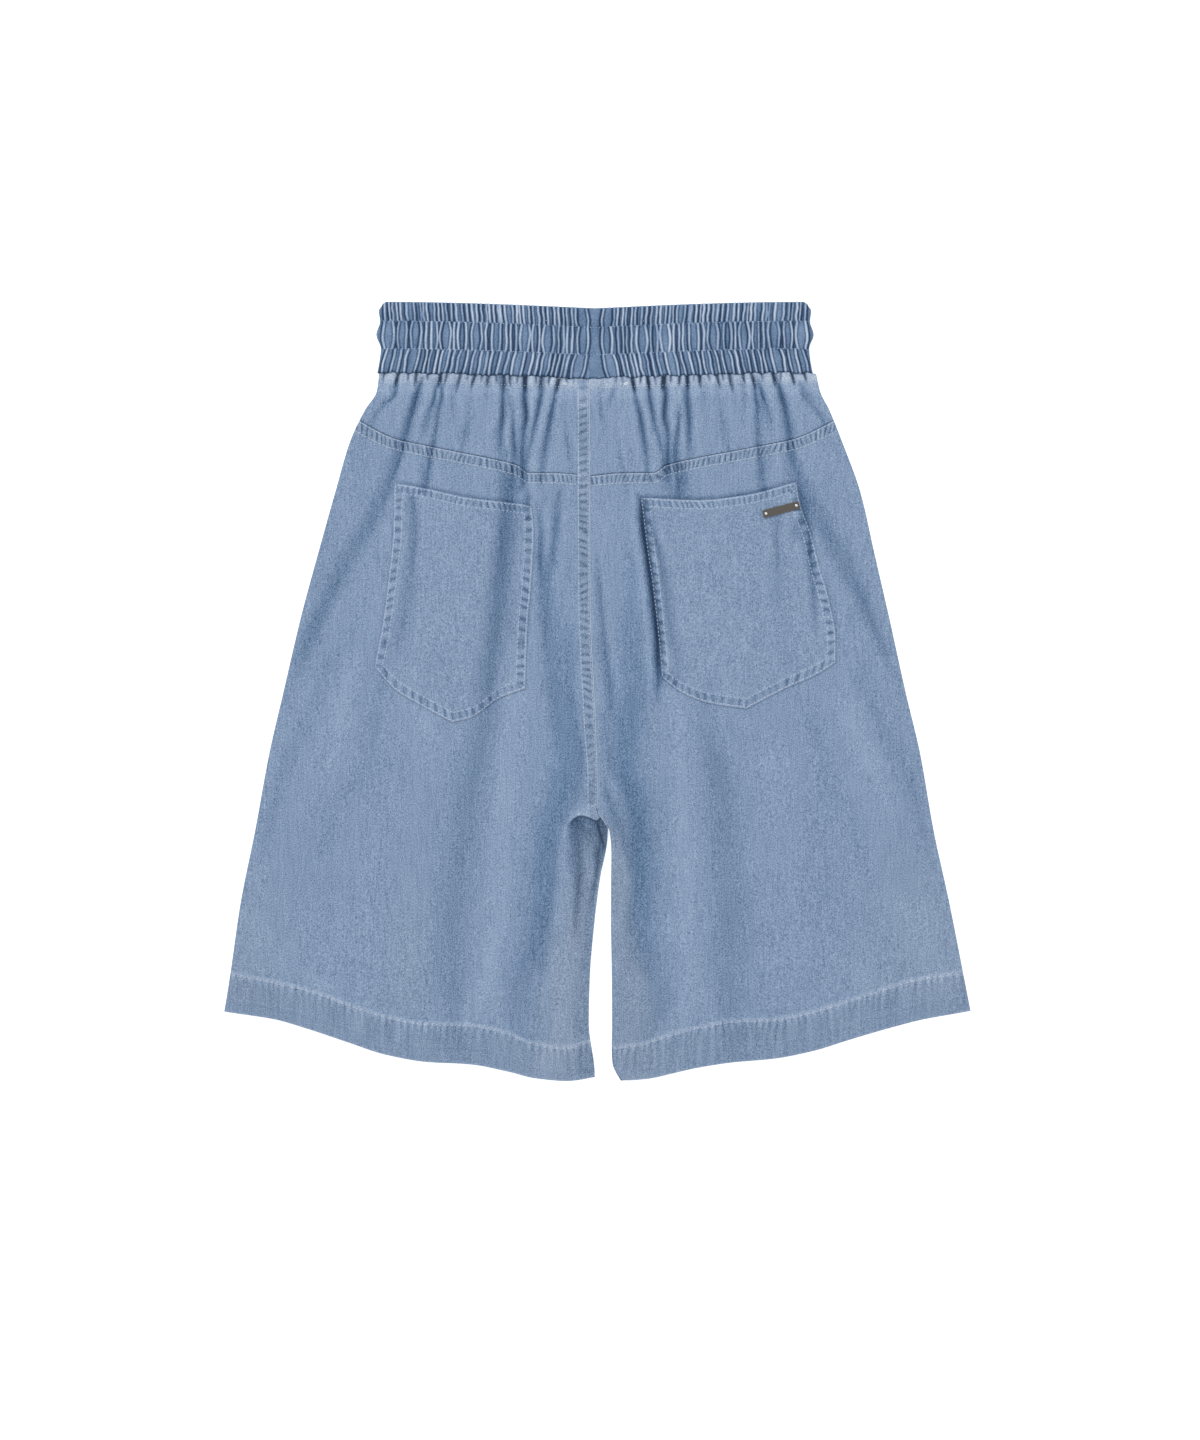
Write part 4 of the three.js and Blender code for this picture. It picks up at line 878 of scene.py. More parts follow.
# %% Yokes
# distance out, width, depth, length, drift outwards
GATHERS = [
    (168, 1.1, 0.9, 12, 2), (157, 1.4, 1.4, 14, 3), (149, 1.0, 0.8, 10, 1), (142.5, 1.4, 1.5, 14, 2),
    (133, 1.0, 0.9, 9, 1), (124, 1.5, 1.3, 16, 4), (118.4, 1.2, 1.1, 12, 3), (108, 1.4, 1.3, 20, 5),
    (102, 1.0, 0.8, 9, 1), (96.8, 1.3, 1.3, 16, 5), (90, 1.0, 0.8, 8, 1), (84.8, 1.4, 1.3, 13, 1),
    (79, 0.9, 0.8, 9, 0), (73.6, 1.4, 1.4, 16, 0), (68, 1.2, 1.2, 12, -1), (61, 1.0, 0.9, 9, 0),
    (55.2, 1.6, 1.5, 16, -1), (48, 1.0, 0.9, 10, 1), (42.4, 1.4, 1.3, 14, 2), (36, 1.0, 0.9, 9, 1),
    (29.6, 1.6, 1.6, 16, 3), (22, 1.0, 0.7, 9, 1), (17, 0.9, 0.5, 7, 0),
]
PUFF_DEPTH = 7.2


def seam_wobble(x):
    """How the waistband's seam wavers where the gathers pull on it."""
    return 0.8 * wander(57, x / 4.3) + 0.5 * wander(58, x / 2.1)


def gather_notches(side, x, below):
    """Depth of the notches under the waistband."""
    out = np.abs(x - MIDDLE)
    depth = np.zeros_like(x)
    for k, (place, width, deep, long, drift) in enumerate(GATHERS):
        place = place + 0.9 * chance(51 + side, k)
        deep = deep * (1 + 0.2 * chance(53 + side, k))
        t = np.clip(below / long, 0, 1)
        bow = 0.8 * chance(55 + side, k) * np.sin(math.pi * t)
        wide = width * (1 - 0.25 * t)
        depth = np.maximum(depth, deep * bell(out - place - drift * t - bow, wide) * (1 - ease(t, 0.3, 1)))
    return depth


def yoke_face(side, x, y, across):
    """Lower face, upper face, and wear with painted shade, of a yoke."""
    lower = rest_height(side, x, y)
    below = band_bottom(side, across) - y
    notch = gather_notches(side, x, below)
    puff = 1 - ease(below, PUFF_DEPTH - 1.5, PUFF_DEPTH + 3)
    open_puff = np.clip(1 - 1.3 * notch, -0.2, 1)
    height = 0.55 * puff * bell(below - 3.2, 2.8) * open_puff - 1.1 * notch
    height = height - 0.35 * bell(below - PUFF_DEPTH, 0.9)
    patch = 0.75 + 0.4 * wander(59 + side, x / 6)
    # the folds' dips and the notches darken the colour as painted shade; the puffs are rubbed pale
    wear_and_shade = mottle(side, x, y) - fold_sum(x, y, fold_set)[0] - 0.6 * notch
    wear_and_shade = wear_and_shade + 0.5 * puff * open_puff * patch + 0.16 * bell(below - 12, 5) * open_puff
    # painted shadow in a thin line under the band and along the topstitching
    wear_and_shade = wear_and_shade - 0.5 * bell(below, 0.7) - 0.16 * bell(below - PUFF_DEPTH, 0.9)
    to_seam = y - yoke_seam(side, across)
    # painted shadow along the yoke seam, under the edge of the leg's strip
    wear_and_shade = wear_and_shade - 0.45 * bell(to_seam, 0.8)
    height = height - 0.25 * bell(to_seam, 1.2)
    from_side = side * (side_edge(side, y) - x)
    thick = CLOTH * (1 - 0.6 * roll(from_side))
    upper = np.maximum(lower + thick + height * ease(from_side, 0, 3), BACK_REST + 0.6)
    return np.minimum(lower, upper - 0.6), upper, wear_and_shade


def build_yoke(side):
    columns = spread(188, 0.85, (0, 0.4, 1), EDGE_LINES)
    rows = spread(76, 1.15, (0, 0.5, 1.1, 2), (2, 1, 0.4, 0))
    top = lambda s, u: band_bottom(s, u) - 0.1
    bottom = lambda s, u: yoke_seam(s, u) + SEAM_GAP / 2
    x, y, across = panel_grid(side, top, bottom, columns, rows)
    lower, upper, wear_and_shade = yoke_face(side, x, y, across)
    y = y + seam_wobble(x) * (1 - ease(band_bottom(side, across) - y, 0, 7))
    name = SIDE_NAMES[side]
    puff_tint = -0.9 * (1 - ease(band_bottom(side, across) - y, 4, 12))
    piece = wall("yoke_back_cloth_" + name, x, y, upper, lower, wear_and_shade, washed_denim, puff_tint)
    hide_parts("yoke_back_" + name)
    return piece, plan_area(x, y)


yoke_areas = {}
for side in (LEFT, RIGHT):
    piece, yoke_areas[side] = build_yoke(side)
print("yoke areas:", yoke_areas)

# %% [markdown]
# ## Felled seams
# A felled seam folds both edges into each other and is sewn through twice, so it stands one ply above
# the panel. It is drawn as a strip of its own on the panels, with a grid fine enough for its bars. The
# yoke seam's strips lie on the legs, and the centre seam's strip runs down over them to the crotch,
# where it narrows and its bars grow faint.

# %% Felled seams
FELL_RISE = 0.65
YOKE_FELL, CENTRE_FELL = 8.8, 9.4


def fell_face(seed, base, distance, along, width, spacing, first=0.36, drawn_up=1):
    """Upper face and wear of a felled strip."""
    middle = 1 - bell(distance - 0.7, 1.0) - bell(distance - width + 0.7, 1.0)
    bar = drawn_up * bars(seed, along, distance, spacing)
    edge = np.maximum(roll(distance, 0.9), roll(width - distance, 0.9))
    upper = base + (FELL_RISE + 0.14 * bar * middle - 0.16 * (1 - middle)) * (1 - edge) + 0.05
    wear_and_shade = 0.4 * bar * (0.2 + 0.8 * middle) - 0.1 - 0.12 * middle + first * bell(distance - 0.2, 0.7)
    return upper, wear_and_shade + 0.36 * bell(distance - width + 0.2, 0.7)


def yoke_fell_face(side, x, y, across, distance):
    base = leg_face(side, x, y, across)[1]
    upper, wear_and_shade = fell_face(21 + side, base, distance, x, YOKE_FELL, 4.0)
    # the folds' dips darken the strip as painted shade
    return base - 0.2, upper, wear_and_shade - fold_sum(x, y, fold_set)[0]


def build_yoke_fell(side):
    name = SIDE_NAMES[side]
    across = np.linspace(0.001, 0.999, 360)[None, :]
    distance = np.array([0, 0.3, 0.8, 1.5, 2.4, 3.4, 4.4, 5.4, 6.4, 7.2, 7.9, 8.5, YOKE_FELL])[:, None]
    ragged = 0.25 * wander(23 + side, across * 60)
    y = yoke_seam(side, across) - SEAM_GAP / 2 - distance * (1 + 0.05 * ragged)
    x = inner_edge(side, y) + (side_edge(side, y) - inner_edge(side, y)) * across
    across, distance = np.broadcast_arrays(across, distance)
    lower, upper, wear_and_shade = yoke_fell_face(side, x, y, across, distance)
    return wall("yoke_fell_" + name, x, y, upper, lower, wear_and_shade, washed_denim, -0.3)


def across_of(side, x, y):
    inner, outer = inner_edge(side, y), side_edge(side, y)
    return (x - inner) / (outer - inner)


def centre_fell_face(x, y, distance):
    """The centre strip lies on the left yoke and leg, and over the yoke's strip."""
    across = across_of(LEFT, x, y)
    from_seam = yoke_seam(LEFT, across) - y
    leg, yoke = leg_face(LEFT, x, y, across)[1], yoke_face(LEFT, x, y, across)[1]
    base = leg + (yoke - leg) * ease(-from_seam, 0, 2)
    on_strip = ease(from_seam, -1.5, 0.5) * (1 - ease(from_seam, YOKE_FELL - 0.5, YOKE_FELL + 1.5))
    base = base + FELL_RISE * on_strip
    drawn_up = 0.75 - 0.45 * ease(-y, 0, 90)
    upper, wear_and_shade = fell_face(31, base, distance, y, CENTRE_FELL, 6.4, 0.1, drawn_up)
    wear_and_shade = wear_and_shade - 0.03 + 0.14 * bell(y - 176, 14) + 0.26 * ease(y, 215, 235)
    wear_and_shade = wear_and_shade + 0.07 * ease(-y, -110, -20) + 0.28 * bell(y + 91, 0.9) + 0.12 * ease(-y, 90, 92)
    wear_and_shade = wear_and_shade - 0.5 * bell(distance - 0.2, 0.6) * ease(-y, 40, 80)
    # the folds' dips darken the strip as painted shade
    return base - 0.25, upper, wear_and_shade - fold_sum(x, y, fold_set)[0]


def centre_fell_line(y, distance):
    """The strip narrows a little towards the crotch."""
    return inner_edge(LEFT, y) - 0.1 - distance * (1 - 0.2 * ease(-y, 20, 70))


def build_centre_fell():
    y = np.linspace(249.5, CROTCH_Y - 3, 480)[:, None]
    distance = [0, 0.3, 0.8, 1.5, 2.4, 3.4, 4.4, 5.4, 6.4, 7.4, 8.2, 8.7, 9.1, CENTRE_FELL]
    distance = np.array(distance)[None, :]
    x = centre_fell_line(y, distance * (1 + 0.02 * wander(33, y / 12)))
    y, distance = np.broadcast_arrays(y, distance)
    lower, upper, wear_and_shade = centre_fell_face(x, y, distance)
    return wall("centre_fell", x, y, upper, lower, wear_and_shade, washed_denim, -0.3)


for side in (LEFT, RIGHT):
    build_yoke_fell(side)
build_centre_fell()

# %% [markdown]
# ## Hems
# The bottom of each leg is turned up twice and sewn with one row. The doubled cloth is stiffer and
# flatter, a little darker, and crossed by short upright puckers. Its folded edge is rubbed pale.

# %% Hems
HEM_CLOTH = 1.9


def hem_face(side, x, y, across):
    """Lower face, upper face, and wear with painted shade, of a hem."""
    lower = rest_height(side, x, y)
    below = hem_fold(side, across) - y
    above = y - hem_edge(side, across)
    pucker = bars(61 + side, x, 0.5 * below, 5.6)
    fine = wander(67 + side, x / 2.3 + 0.2 * wander(68, below / 6))
    from_side = side * (side_edge(side, y) - x)
    from_inner = side * (x - inner_edge(side, y))
    ends = np.minimum(from_side, from_inner)
    edge = np.maximum(roll(above, 1.6), roll(ends, 1.4))
    plies = CLOTH + (HEM_CLOTH - CLOTH) * ease(below, 1, 5)
    upper = lower + plies * (1 - 0.65 * edge) + 0.12 * pucker * bell(below - 4, 7) * ease(above, 0, 4)
    upper = upper - 0.25 * bell(below - 1.6, 0.8)
    wear_and_shade = 0.28 * pucker * (0.14 + 0.86 * bell(below - 2.8, 4.4)) + mottle(side, x, y)
    # the folds' dips darken the hem as painted shade
    wear_and_shade = wear_and_shade - fold_sum(x, y, fold_set)[0]
    wear_and_shade = wear_and_shade + 0.34 * bell(below, 1.3) + 0.22 * bell(above - 0.4, 1.0)
    ply_edge = below - 19 + 0.8 * wander(65, x / 40)
    wear_and_shade = wear_and_shade + 0.12 * fine * bell(below - 12, 12)
    wear_and_shade = wear_and_shade + 0.07 * bell(ply_edge, 0.8) - 0.06 * bell(ply_edge - 2, 0.8)
    return lower, upper, wear_and_shade - 0.06 * ease(below, 1, 4)


def build_hem(side):
    columns = spread(289, 1.3, (0, 0.4, 0.9, 1.6, 3), EDGE_LINES)
    rows = spread(31, 1.4, (0, 0.6, 1.2, 1.9, 2.8), (3, 1.8, 0.9, 0.3, 0))
    x, y, across = panel_grid(side, lambda s, u: hem_fold(s, u) - 0.02, hem_edge, columns, rows)
    lower, upper, wear_and_shade = hem_face(side, x, y, across)
    corner = roll(side * (x - inner_edge(side, y)), 6) * ease(hem_fold(side, across) - y, 16, 32)
    y = y + 3.5 * corner
    name = SIDE_NAMES[side]
    hem_tint = -0.25 - 0.5 * bell(hem_fold(side, across) - y, 2)
    piece = wall("hem_back_cloth_" + name, x, y, upper, lower, wear_and_shade, hem_denim, hem_tint)
    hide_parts("hem_back_" + name)
    return piece, plan_area(x, y)


hem_areas = {}
for side in (LEFT, RIGHT):
    piece, hem_areas[side] = build_hem(side)
print("hem areas:", hem_areas)

# %% [markdown]
# ## Waistband
# The band is a tube of denim round a wide elastic, sewn through in two rows, so it puffs into three
# channels. The elastic draws the cloth to little more than half its length. Each channel fills with
# sharp upright ridges, rubbed nearly white, and tucks between them, darkened with painted shade. The
# rows of ridges don't meet at the stitching, and in the middle channel pairs of ridges bow apart like
# eyes. The ridges are listed for one half, channel by channel, and the other half mirrors them, as the
# shorts were folded in two.

# %% Waistband
BAND_HALF = 172.0
BAND_REST = 3.3
BACK_BAND = 2.5
BAND_CORNER = 5.0
BAND_TALL = 57
BAND_ROWS = (0.275, 0.66)
# share down the band, puff in height, bulge at the ends
BAND_LINES = [
    (0, -0.9, -1), (0.14, 0.9, 1), (0.275, -0.4, 0), (0.465, 1.4, 3), (0.66, -0.4, -0.6),
    (0.83, 1.1, 0.4), (1, -0.5, 2.2),
]
CHANNELS = [
    {
        "from": 0.0, "to": 0.275, "lean": -1.2, "bow": 0.12,
        "ridges": [
            168.1, 164.2, 161.6, 157.8, 155.4, 150.8, 144.3, 139.4, 137.3, 134.6, 127.9, 124.9,
            122.3, 119.1, 114.7, 110.9, 106.2, 102.1, 98, 94.5, 90.6, 86.6, 84.5, 80.9, 76.9,
            75.4, 71.8, 65.4, 62.5, 59.8, 57.2, 52.2, 49.6, 44.9, 41.4, 37.5, 32.2, 29.4, 25,
            22.3, 17.9, 15.3, 5.8,
        ],
    },
    {
        "from": 0.275, "to": 0.66, "lean": 0.6, "bow": 0.24,
        "ridges": [
            169.5, 160.7, 157.8, 150.8, 147.3, 138.5, 135, 131.1, 125.8, 123.8, 115.3, 112.6,
            109.7, 102.6, 98.9, 90.1, 87.4, 82.7, 75.4, 70.4, 67.8, 62.8, 60.2, 52.2, 49.8, 44.6,
            41.7, 32.9, 29, 25, 22.6, 18.2, 14.1, 5.8,
        ],
    },
    {
        "from": 0.66, "to": 1.0, "lean": 4.2, "bow": 0.18,
        "ridges": [
            169, 161.4, 156.1, 151.4, 142, 135.5, 132.6, 127.3, 123.2, 117.9, 113.8, 109.7,
            102.6, 98, 92.1, 86.8, 83.6, 76.9, 70.4, 65.4, 57.5, 50.7, 46.6, 42.6, 36.4, 33.1,
            29.9, 25.8, 22.9, 17.6, 7.6,
        ],
    },
]
band_puff, band_bulge = smooth_line(BAND_LINES, 1), smooth_line(BAND_LINES, 2)


def band_place(along, down):
    """x, y and distance from the nearer end, at shares along and down the band."""
    off = 2 * along - 1
    rounded = np.sin(math.pi / 2 * np.abs(off))
    half = BAND_HALF + band_bulge(down)
    into = np.clip(np.abs(off) * half - half + BAND_CORNER, 0, BAND_CORNER)
    cut = BAND_CORNER - np.sqrt(BAND_CORNER**2 - into**2)
    top = 306.8 + 5.2 * rounded - cut * (1 - ease(down, 0, 0.12))
    y = top * (1 - down) + (250 + 5 * rounded) * down
    return MIDDLE + off * half, y, half * (1 - np.abs(off))


def ridges(x, down, channel, number):
    """Ridge and tuck strength, 0 to 1 each, in one channel of the band. The tuck is darkened as painted
    shade.
    """
    w = np.clip((down - channel["from"]) / (channel["to"] - channel["from"]), 0, 1)
    out = np.abs(x - MIDDLE)
    half = np.where(x < MIDDLE, 0.0, 1.0)
    ridge, tuck = np.zeros_like(x), np.zeros_like(x)
    swell = np.sin(math.pi * w)
    places = channel["ridges"]
    around = [places[0] + 4] + places + [places[-1] - 4]
    for k, place in enumerate(places):
        seed = 71 + 5 * number
        pull = channel["bow"] * (around[k] + around[k + 2] - 2 * place)
        line = place + 0.3 * chance(seed, k, half) + channel["lean"] * (w - 0.5) + pull * (1 - swell)
        line = line + 0.35 * wander(seed + k, 3 * w)
        offset = out - line
        broad = 0.75 + 0.3 * chance(seed + 4, k, half)
        strong = 0.85 + 0.25 * chance(seed + 2, k, half)
        ridge = np.maximum(ridge, strong * bell(offset, broad) * (0.75 + 0.25 * swell))
        # the tuck lies mostly on one side of each ridge: it sinks the cloth and is darkened as painted
        # shade
        away = offset * (1 if chance(seed + 3, k) > 0 else -1)
        tuck = np.maximum(tuck, bell(away - 1.6, 0.85))
        tuck = np.maximum(tuck, 0.45 * np.exp(-np.abs(away) / 2.6) * (away > 0))
        tuck = np.maximum(tuck, 0.6 * bell(away + 1.4, 0.7))
    return ridge, tuck * (1 - ridge)


def band_face(x, y, down, from_end):
    ridge, tuck = np.zeros_like(x), np.zeros_like(x)
    for number, channel in enumerate(CHANNELS):
        within = (down >= channel["from"]) & (down <= channel["to"])
        some_ridge, some_tuck = ridges(x, down, channel, number)
        ridge, tuck = np.where(within, some_ridge, ridge), np.where(within, some_tuck, tuck)
    sewn = sum(bell((down - place) * BAND_TALL, 1.1) for place in BAND_ROWS)
    pinch = wander(78, x / 1.1 + 7 * (down > 0.5)) * sewn
    full = BACK_BAND + band_puff(down) + (0.95 * ridge - 0.75 * tuck) * (1 - 0.5 * sewn)
    full = full - 0.3 * sewn + 0.3 * pinch
    seam = bell(x + 7.6, 0.7)
    end = np.sqrt(np.clip(from_end / 7, 0, 1))
    height = 0.8 + np.maximum(full - 0.8 - 0.4 * seam, 0.1) * end
    # ridges rubbed pale, tucks darkened as painted shade, and a painted shadow along the band's bottom seam
    wear_and_shade = -0.14 + 1.3 * ridge - 0.95 * tuck + 0.35 * pinch - 0.06 * sewn
    wear_and_shade = wear_and_shade + 0.3 * bell(x + 7.6, 0.5) + 0.12 * bell(down * BAND_TALL, 1.2)
    wear_and_shade = wear_and_shade - 0.6 * bell((1 - down) * BAND_TALL, 0.9) + 0.12 * wander_over(77, x / 5, y / 12)
    return BAND_REST + height, wear_and_shade


def build_band():
    along = np.linspace(0, 1, 681)[None, :]
    down = np.concatenate([[0, 0.005, 0.013, 0.024], np.linspace(0.038, 0.985, 56), [0.994, 1]])[:, None]
    x, y, from_end = band_place(along, down)
    along, down = np.broadcast_arrays(along, down)
    upper, wear_and_shade = band_face(x, y, down, from_end)
    rim = roll(down * BAND_TALL, 1.6) + roll((1 - down) * BAND_TALL, 0.6)
    y = y + 0.3 * (wear_and_shade + 0.2) * (1 - ease(down, 0, 0.04)) * (down < 0.1) * ease(from_end, 4, 9)
    y = y + seam_wobble(x) * ease(down, 0.88, 1) * ease(from_end, 0, 4)
    upper = upper - rim * (upper - BAND_REST - 0.7)
    lower = np.full_like(x, BAND_REST)
    tint = 0.3 - 1.2 * np.clip(wear_and_shade, 0, 1)
    piece = wall("waistband_back_cloth", x, y, upper, lower, wear_and_shade, gathered_denim, tint)
    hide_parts("waistband_back")
    return piece, plan_area(x, y)


band_piece, band_area = build_band()
print("band area:", round(band_area, 4))

# %% [markdown]
# ## Pockets
# A patch pocket is one piece of cloth with its edges turned under, sewn on with two rows, and open at
# the top. Its outline has four curved sides, the bottom one with a point, so the grid is drawn between
# them. It lies on the leg and takes the leg's folds. Between the two rows the cloth puckers into bars.

# %% Pockets
POCKET_CLOTH = 1.1
POCKET_LIFT = 0.3
TURNED = 7.4

POCKETS = {
    LEFT: {
        "top": POCKET_TOPS[LEFT],
        "inner": [(-52.4, 148.2), (-50.8, 128.4), (-52.9, 85.2), (-55.6, 56.6), (-57.6, 2.3)],
        "outer": [(-162.8, 166.8), (-163.4, 130), (-167.1, 92.4), (-171.6, 56.6), (-178.6, 19.6)],
        "bottom": [
            [(-178.6, 19.6), (-161.4, 0.9), (-142.9, -10.5), (-116.4, -24.8)],
            [(-116.4, -24.8), (-101.4, -21.2), (-78.5, -5.5), (-57.6, 2.3)],
        ],
    },
    RIGHT: {
        "top": POCKET_TOPS[RIGHT],
        "inner": [(34, 155.2), (39.1, 114), (43.4, 85.2), (47.6, 49.5), (51.3, 11.6)],
        "outer": [
            (159.6, 167.8), (162, 152.4), (170.6, 128.4), (177.7, 99.6), (186, 70.8), (190.6, 42.3),
            (190.6, 23),
        ],
        "bottom": [
            [(51.3, 11.6), (66.3, -0.4), (87.6, -9.1), (119.1, -14)],
            [(119.1, -14), (130.6, -7.8), (152, 3), (173.4, 12.4), (190.6, 23)],
        ],
    },
}


def path(points):
    """A smooth path through points, read at a share of its length, and that length."""
    points = np.array(points, float)
    steps = np.hypot(*np.diff(points, axis=0).T)
    run = np.concatenate([[0], np.cumsum(steps)])
    rows = [(r / run[-1], px, py) for r, (px, py) in zip(run, points)]
    read_x, read_y = smooth_line(rows, 1), smooth_line(rows, 2)
    return (lambda t: np.stack([read_x(t), read_y(t)], -1)), run[-1]


def pocket_frame(side):
    """The four sides of a pocket, from left to right and from top to bottom."""
    sides = POCKETS[side]
    left, right = ("outer", "inner") if side == LEFT else ("inner", "outer")
    first, first_length = path(sides["bottom"][0])
    second, second_length = path(sides["bottom"][1])
    tip = first_length / (first_length + second_length)

    def bottom(t):
        part = np.clip(t / tip, 0, 1), np.clip((t - tip) / (1 - tip), 0, 1)
        return np.where((t < tip)[..., None], first(part[0]), second(part[1]))

    return path(sides["top"])[0], bottom, path(sides[left])[0], path(sides[right])[0], tip


def pocket_points(side, u, v):
    """Places on a pocket at shares across and down it."""
    top, bottom, left, right, _ = pocket_frame(side)
    u, v = np.broadcast_arrays(u, v)
    s, t = u[..., None], v[..., None]
    blend = (1 - t) * top(u) + t * bottom(u) + (1 - s) * left(v) + s * right(v)
    one, zero = np.ones(1), np.zeros(1)
    corners = (1 - s) * (1 - t) * top(zero) + s * (1 - t) * top(one)
    corners = corners + (1 - s) * t * bottom(zero) + s * t * bottom(one)
    place = blend - corners
    return place[..., 0], place[..., 1]


def pocket_sizes(side, u, v):
    """Width at each height and height at each place across."""
    x0, y0 = pocket_points(side, 0.0 * v, v)
    x1, y1 = pocket_points(side, 0.0 * v + 1, v)
    a0, b0 = pocket_points(side, u, 0.0 * u)
    a1, b1 = pocket_points(side, u, 0.0 * u + 1)
    return np.hypot(x1 - x0, y1 - y0), np.hypot(a1 - a0, b1 - b0)


def pocket_face(side, x, y, u, v):
    """Lower face, upper face, and wear with painted shade, of a pocket."""
    wide, tall = pocket_sizes(side, u, v)
    left, right = u * wide, (1 - u) * wide
    over, under = v * tall, (1 - v) * tall * 0.88
    edge = np.minimum(np.minimum(left, right), np.minimum(over, under))
    _, leg, leg_wear_and_shade = leg_face(side, x, y, across_of(side, x, y))
    lower = leg + POCKET_LIFT
    sewn_edge = np.minimum(np.minimum(left, right), under)
    level = over < sewn_edge
    seam = ease(edge, 0.4, 1.8) * (1 - ease(edge, TURNED - 1.6, TURNED + 1.2))
    bar = np.where(level, bars(81 + side, x, edge, 4.4), bars(83 + side, y, edge, 8.2))
    bar = np.where(under < np.minimum(left, right), 1.1 * bars(85 + side, x, edge, 6.4), bar)
    plies = 0.35 * (1 - ease(edge, TURNED, TURNED + 1.5))
    upper = lower + (POCKET_CLOTH + plies) * (1 - 0.75 * roll(edge, 1.3)) + 0.15 * bar * seam
    rims = bell(edge - 0.6, 0.9) + 0.4 * bell(edge - TURNED, 0.9)
    # the folds' dips darken the pocket as painted shade and soften its bars and rims
    dip = fold_sum(x, y, fold_set)[0]
    clear = np.clip(1.1 - 1.3 * dip, 0.15, 1)
    from_inner = right if side == LEFT else left
    wear_and_shade = (0.34 * bar * seam + 0.34 * rims) * clear + mottle(side, x, y) - dip
    wear_and_shade = wear_and_shade - (0.16 + 0.1 * (side == LEFT) * bell(from_inner, TURNED)) * seam
    return lower, upper, wear_and_shade


def build_pocket(side):
    _, _, _, _, tip = pocket_frame(side)
    fine = (0, 0.3, 0.8, 1.4, 2.2, 3.4)
    shares = spread(128, 1.1, fine, fine[::-1])
    u = shares[0] * (1 - (shares[1] + shares[2]) / 128) + shares[1] / 128
    u = np.where(shares[0] == 1, 1 - shares[2] / 128, u)
    u[np.argmin(np.abs(u - tip))] = tip
    drops = spread(178, 1.25, fine, fine[::-1])
    v = drops[0] * (1 - (drops[1] + drops[2]) / 178) + drops[1] / 178
    v = np.where(drops[0] == 1, 1 - drops[2] / 178, v)
    u, v = np.broadcast_arrays(u[None, :], v[:, None])
    x, y = pocket_points(side, u, v)
    lower, upper, wear_and_shade = pocket_face(side, x, y, u, v)
    name = SIDE_NAMES[side]
    piece = wall("pocket_cloth_" + name, x, y, upper, lower, wear_and_shade, washed_denim, -0.1)
    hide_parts("pocket_" + name)
    return piece, plan_area(x, y)


pocket_areas = {}
for side in (LEFT, RIGHT):
    piece, pocket_areas[side] = build_pocket(side)
print("pocket areas:", pocket_areas)

# %% [markdown]
# ## Front
# The front lies face down under the back and hardly shows, so it is plain cloth on its solids: two leg
# panels, two hems and the front of the waistband. Flat panels need only a coarse grid.

# %% Front pieces
FRONT_CLOTH = 1.2


def build_front(side):
    name = SIDE_NAMES[side]
    columns = spread(250, 7.0, (0, 0.5, 1.2, 4), (4, 1.2, 0.5, 0))
    tall = spread(530, 5.0, (0, 1, 3), (2, 0))
    low = spread(31, 4.0, (0, 1), (3, 1.2, 0.4, 0))
    areas = []
    lines = {
        "leg_front": (lambda s, u: band_bottom(s, u) - SEAM_GAP, lambda s, u: hem_fold(s, u) + 0.15, tall),
        "hem_front": (lambda s, u: hem_fold(s, u) - 0.15, hem_edge, low),
    }
    for node, (top, bottom, rows) in lines.items():
        x, y, across = panel_grid(side, top, bottom, columns, rows)
        from_side = side * (side_edge(side, y) - x)
        upper = FRONT_CLOTH * (1 - 0.5 * roll(from_side))
        wear_and_shade = 0.1 * wander_over(91 + side, x / 31, y / 70) + 0 * across
        finish = hem_denim if node == "hem_front" else washed_denim
        piece = wall(f"{node}_cloth_{name}", x, y, upper, np.zeros_like(x), wear_and_shade, finish)
        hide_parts(f"{node}_{name}")
        areas.append(plan_area(x, y))
    return areas


front_areas = {side: build_front(side) for side in (LEFT, RIGHT)}


def build_band_front():
    along = np.linspace(0, 1, 241)[None, :]
    down = np.linspace(0, 1, 20)[:, None]
    x, y, from_end = band_place(along, down)
    ridge = np.abs(np.sin(x * math.pi / 4.3 + 0.8 * wander(95, x / 9)))
    end = np.sqrt(np.clip(from_end / 5, 0, 1))
    upper = 1.0 + (1.9 - 0.3 * ridge) * end
    wear_and_shade = -0.3 + 0.6 * (1 - ridge) ** 2 + 0 * y
    piece = wall("waistband_front_cloth", x, y, upper + 0 * y, 0 * x + 0 * y, wear_and_shade, gathered_denim)
    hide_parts("waistband_front")
    return plan_area(x + 0 * y, y)


band_front_area = build_band_front()
print("front areas:", front_areas, band_front_area)

# %% [markdown]
# ## Stitching
# Jeans thread is thick enough to see. One stitch is a short, slightly flattened bead of thread, sunk in
# the cloth at both ends. It is modelled once and set again and again along each seam, uneven by a hair,
# at about three stitches to the centimetre. All the stitches of a seam are one mesh.

# %% One stitch
bpy.ops.object.select_all(action="DESELECT")
bpy.ops.mesh.primitive_uv_sphere_add(segments=6, ring_count=4, radius=0.5)
stitch_model = bpy.context.object
bpy.ops.object.mode_set(mode="EDIT")
bpy.ops.mesh.select_all(action="SELECT")
bpy.ops.transform.rotate(value=math.pi / 2, orient_axis="Y", center_override=(0, 0, 0))
bpy.ops.object.mode_set(mode="OBJECT")
stitch_points = np.array([v.co[:] for v in stitch_model.data.vertices])
stitch_faces = [list(p.vertices) for p in stitch_model.data.polygons]
bpy.data.objects.remove(stitch_model, do_unlink=True)


